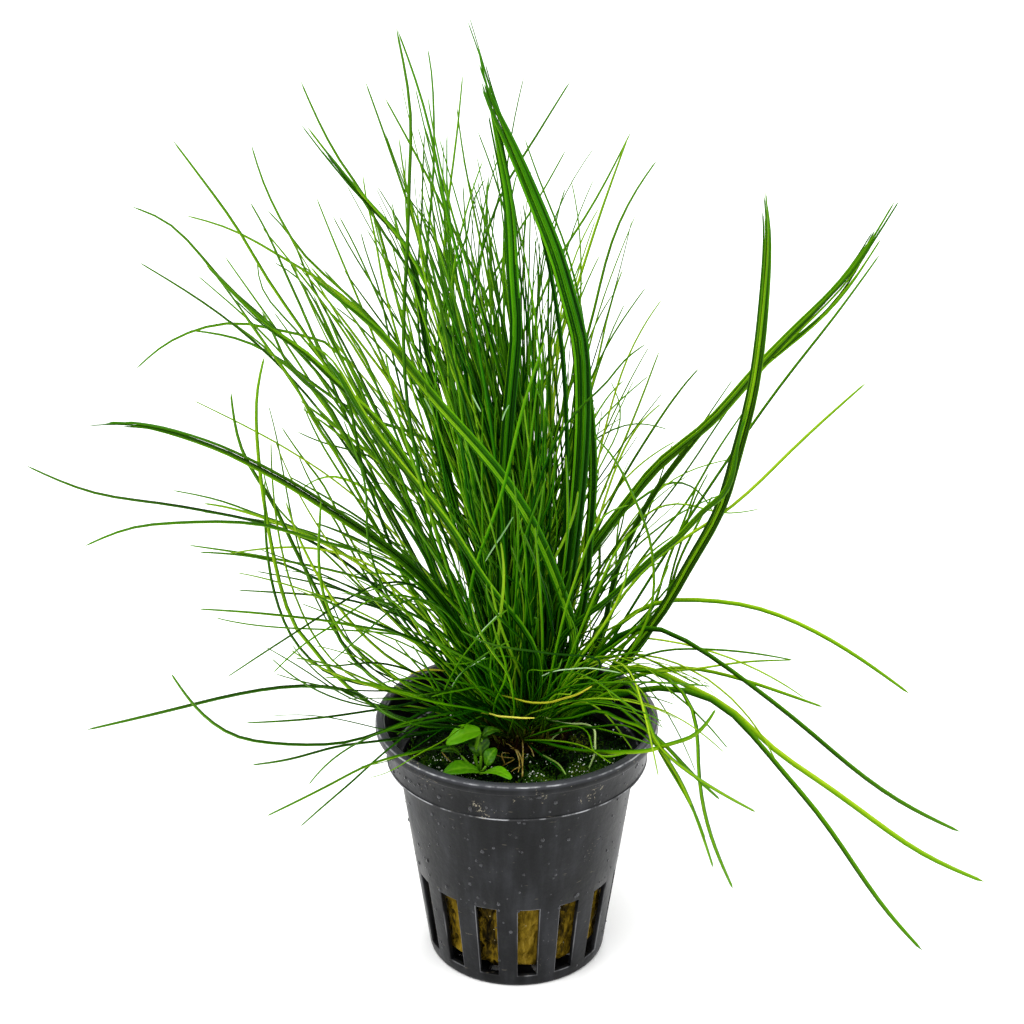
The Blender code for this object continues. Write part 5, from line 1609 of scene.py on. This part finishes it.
class HAIRGRASS_OT_runners(bpy.types.Operator):
    """Lay the pale runners, the roots, the dead leaves and the leaves painted pale as highlights over the
    plug
    """
    bl_idname = "hairgrass.runners"
    bl_label = "Runners, roots and dead leaves"

    def runners(self):
        """The long pale runner, as deep as its solid and arched toward the viewer, its two short arms and
        two short green leaves beside it."""
        pale = leaf_skin("pale_runner", [(0.2, "#74983a"), (0.6, "#a8cc6c"), (1.0, "#d2e6a4")],
                         "#9cb864", "#90bc5c", 0.4, 0.05)
        pixels = readings(RUNNER)
        share = stations(26)
        depths = np.interp(np.linspace(0.12, 1.0, len(pixels)), share,
                           smooth_line(solid_line("runner"), 26)[:, 1])
        main = smooth_line(from_pixels(pixels, depths), 26)
        main = nearer_viewer(main, 4.0 * np.sin(math.pi * share))
        lines = [main] + [smooth_line(on_level(arm), 26) for arm in RUNNER_ARMS]
        piece = leaves("runner_stalks", lines, [0.46, 0.34, 0.28, 0.36, 0.36], [0.7, 0.75, 0.4, 0.0, 0.1],
                       6, 1.0, 0.55)
        settle(piece, pale, "runner", "runner")

    def roots(self, rng):
        """The solids' two roots, each with thinner ones beside it."""
        beige = plant_skin("root_skin", [(0.3, "#54420f"), (0.5, "#948038"), (0.7, "#c6b674")])
        for name, routes in ROOTS.items():
            lines = [smooth_line(line, 14) for line in (solid_line(name), *map(on_level, routes))]
            widths = [0.28, *rng.uniform(0.18, 0.28, len(routes))]
            piece = leaves(name + "_hairs", lines, widths, [0.5] * len(lines), 5, 1.0, 0.4)
            settle(piece, beige, "root", name)

    def dead_leaves(self):
        """Yellow leaves, each doubled by one that lies closer to the viewer."""
        straw = leaf_skin("dead_leaf", [(0.1, "#98a020"), (0.5, "#c6c434"), (0.9, "#dedc58")],
                          "#6a8010", "#d0cc40", 0.5, 0.03, 0.2)
        for number, (name, text) in enumerate(DEAD_LEAVES.items()):
            pixels = readings(text)
            guide = smooth_line(solid_line(name), 20)
            depths = np.interp(np.linspace(0, 1, len(pixels)), stations(20), guide[:, 1])
            inner = smooth_line(from_pixels(pixels, depths), 20)
            lines = [inner, nearer_viewer(inner, 10.0)]
            piece = leaves(name + "_blade", lines, [0.45, 0.42], [0.3 + 0.3 * number] * 2, 5, 0.55)
            settle(piece, straw, "dead_leaf", name)

    def painted_highlight_leaves(self, rng):
        """Thin leaves that lie wet among the green ones, painted pale green-white as painted highlights."""
        bleached = leaf_skin("painted_highlight_leaf", [(0.1, "#588a48"), (0.5, "#8ab47c"), (0.9, "#b4d0a8")],
                             "#5c8c40", "#8cb47c", 0.4, 0.08, 0.0)
        lines = []
        for depth, text in HIGHLIGHT_LEAVES:
            pixels = readings(text)
            lines.append(smooth_line(from_pixels(pixels, np.full(len(pixels), float(depth))), 12))
        piece = leaves("painted_highlight_leaves", lines, [0.27] * len(lines), rng.uniform(0.3, 0.7, len(lines)), 4)
        settle(piece, bleached, "dead_leaf")

    def execute(self, context):
        rng = np.random.default_rng(41)
        self.runners()
        self.roots(rng)
        self.dead_leaves()
        self.painted_highlight_leaves(rng)
        return {"FINISHED"}


class HAIRGRASS_OT_stage(bpy.types.Operator):
    """Set the floor, the light and the camera"""
    bl_idname = "hairgrass.stage"
    bl_label = "Stage"

    def execute(self, context):
        scene = context.scene
        stage = scene.hairgrass_stage
        drop_selection()
        bpy.ops.mesh.primitive_plane_add(size=12.0, location=(0, 0, 0))
        floor = bpy.context.object
        floor.name = "floor"
        bpy.ops.object.mode_set(mode="EDIT")
        bpy.ops.mesh.extrude_region_move(TRANSFORM_OT_translate={"value": (0, 0, -0.02)})
        bpy.ops.mesh.select_all(action="SELECT")
        bpy.ops.mesh.normals_make_consistent(inside=False)
        bpy.ops.object.mode_set(mode="OBJECT")
        paper, tree, shader, place = start_finish("matt_white_board", 0.95, Specular_IOR_Level=0.0)
        shader.inputs["Base Color"].default_value = (*stage.floor, 1.0)
        floor.data.materials.append(paper)
        world = bpy.data.worlds.new("soft_white_room")
        world.use_nodes = True
        world.node_tree.nodes["Background"].inputs["Color"].default_value = (1.0, 1.0, 1.0, 1.0)
        world.node_tree.nodes["Background"].inputs["Strength"].default_value = stage.sky
        scene.world = world
        # Name, place, size, power; each lamp faces the middle of the plant
        lamps = [("top", (-0.15, -0.25, 1.25), 0.9, 13.0), ("left", (-1.1, -0.7, 0.7), 0.7, 6.0),
                 ("right", (1.1, -0.5, 0.6), 0.7, 5.0), ("back", (0.3, 1.1, 0.9), 0.8, 7.0)]
        for name, place, size, power in lamps:
            bpy.ops.object.light_add(type="AREA", location=place)
            lamp = bpy.context.object
            lamp.name = "lamp_" + name
            lamp.data.shape = "DISK"
            lamp.data.size = size
            lamp.data.energy = power
            way = Vector((0.0, 0.0, 0.07)) - Vector(place)
            lamp.rotation_euler = way.to_track_quat("-Z", "Y").to_euler()
        down = math.radians(LOOK_DOWN)
        aim = Vector(LOOK_AT) * MM
        spot = aim + Vector((0.0, -math.cos(down), math.sin(down))) * LOOK_DISTANCE * MM
        bpy.ops.object.camera_add(location=spot, rotation=(math.radians(90) - down, 0.0, 0.0))
        camera = bpy.context.object
        camera.data.lens = LENS
        camera.data.sensor_width = SENSOR
        camera.data.clip_start = 0.01
        camera.data.clip_end = 30.0
        scene.camera = camera
        scene.view_settings.view_transform = "Standard"
        return {"FINISHED"}


class HAIRGRASS_PT_panel(bpy.types.Panel):
    """Lists the makers of the pieces"""
    bl_label = "Hairgrass"
    bl_idname = "HAIRGRASS_PT_panel"
    bl_space_type = "VIEW_3D"
    bl_region_type = "UI"
    bl_category = "Hairgrass"

    def draw(self, context):
        for maker in MAKERS:
            self.layout.operator(maker.bl_idname)
        for holder in GROUPS:
            group = getattr(context.scene, holder)
            for key in group.bl_rna.properties.keys():
                if key not in ("rna_type", "name"):
                    self.layout.prop(group, key)


MAKERS = (HAIRGRASS_OT_pot, HAIRGRASS_OT_drops, HAIRGRASS_OT_plug, HAIRGRASS_OT_moss, HAIRGRASS_OT_crown,
          HAIRGRASS_OT_tufts, HAIRGRASS_OT_strands, HAIRGRASS_OT_seedling, HAIRGRASS_OT_runners,
          HAIRGRASS_OT_stage)
GROUPS = {"hairgrass_pot": PotSettings, "hairgrass_ground": GroundSettings,
          "hairgrass_leaves": LeafSettings, "hairgrass_stage": StageSettings}


def register():
    for kind in (*GROUPS.values(), *MAKERS, HAIRGRASS_PT_panel):
        bpy.utils.register_class(kind)
    for holder, kind in GROUPS.items():
        setattr(bpy.types.Scene, holder, PointerProperty(type=kind))


def unregister():
    for holder in GROUPS:
        delattr(bpy.types.Scene, holder)
    for kind in (HAIRGRASS_PT_panel, *reversed(MAKERS), *reversed(GROUPS.values())):
        bpy.utils.unregister_class(kind)


def main():
    """Make every piece and the stage."""
    register()
    for maker in MAKERS:
        group, name = maker.bl_idname.split(".")
        getattr(getattr(bpy.ops, group), name)()
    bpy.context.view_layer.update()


if __name__ == "__main__":
    main()
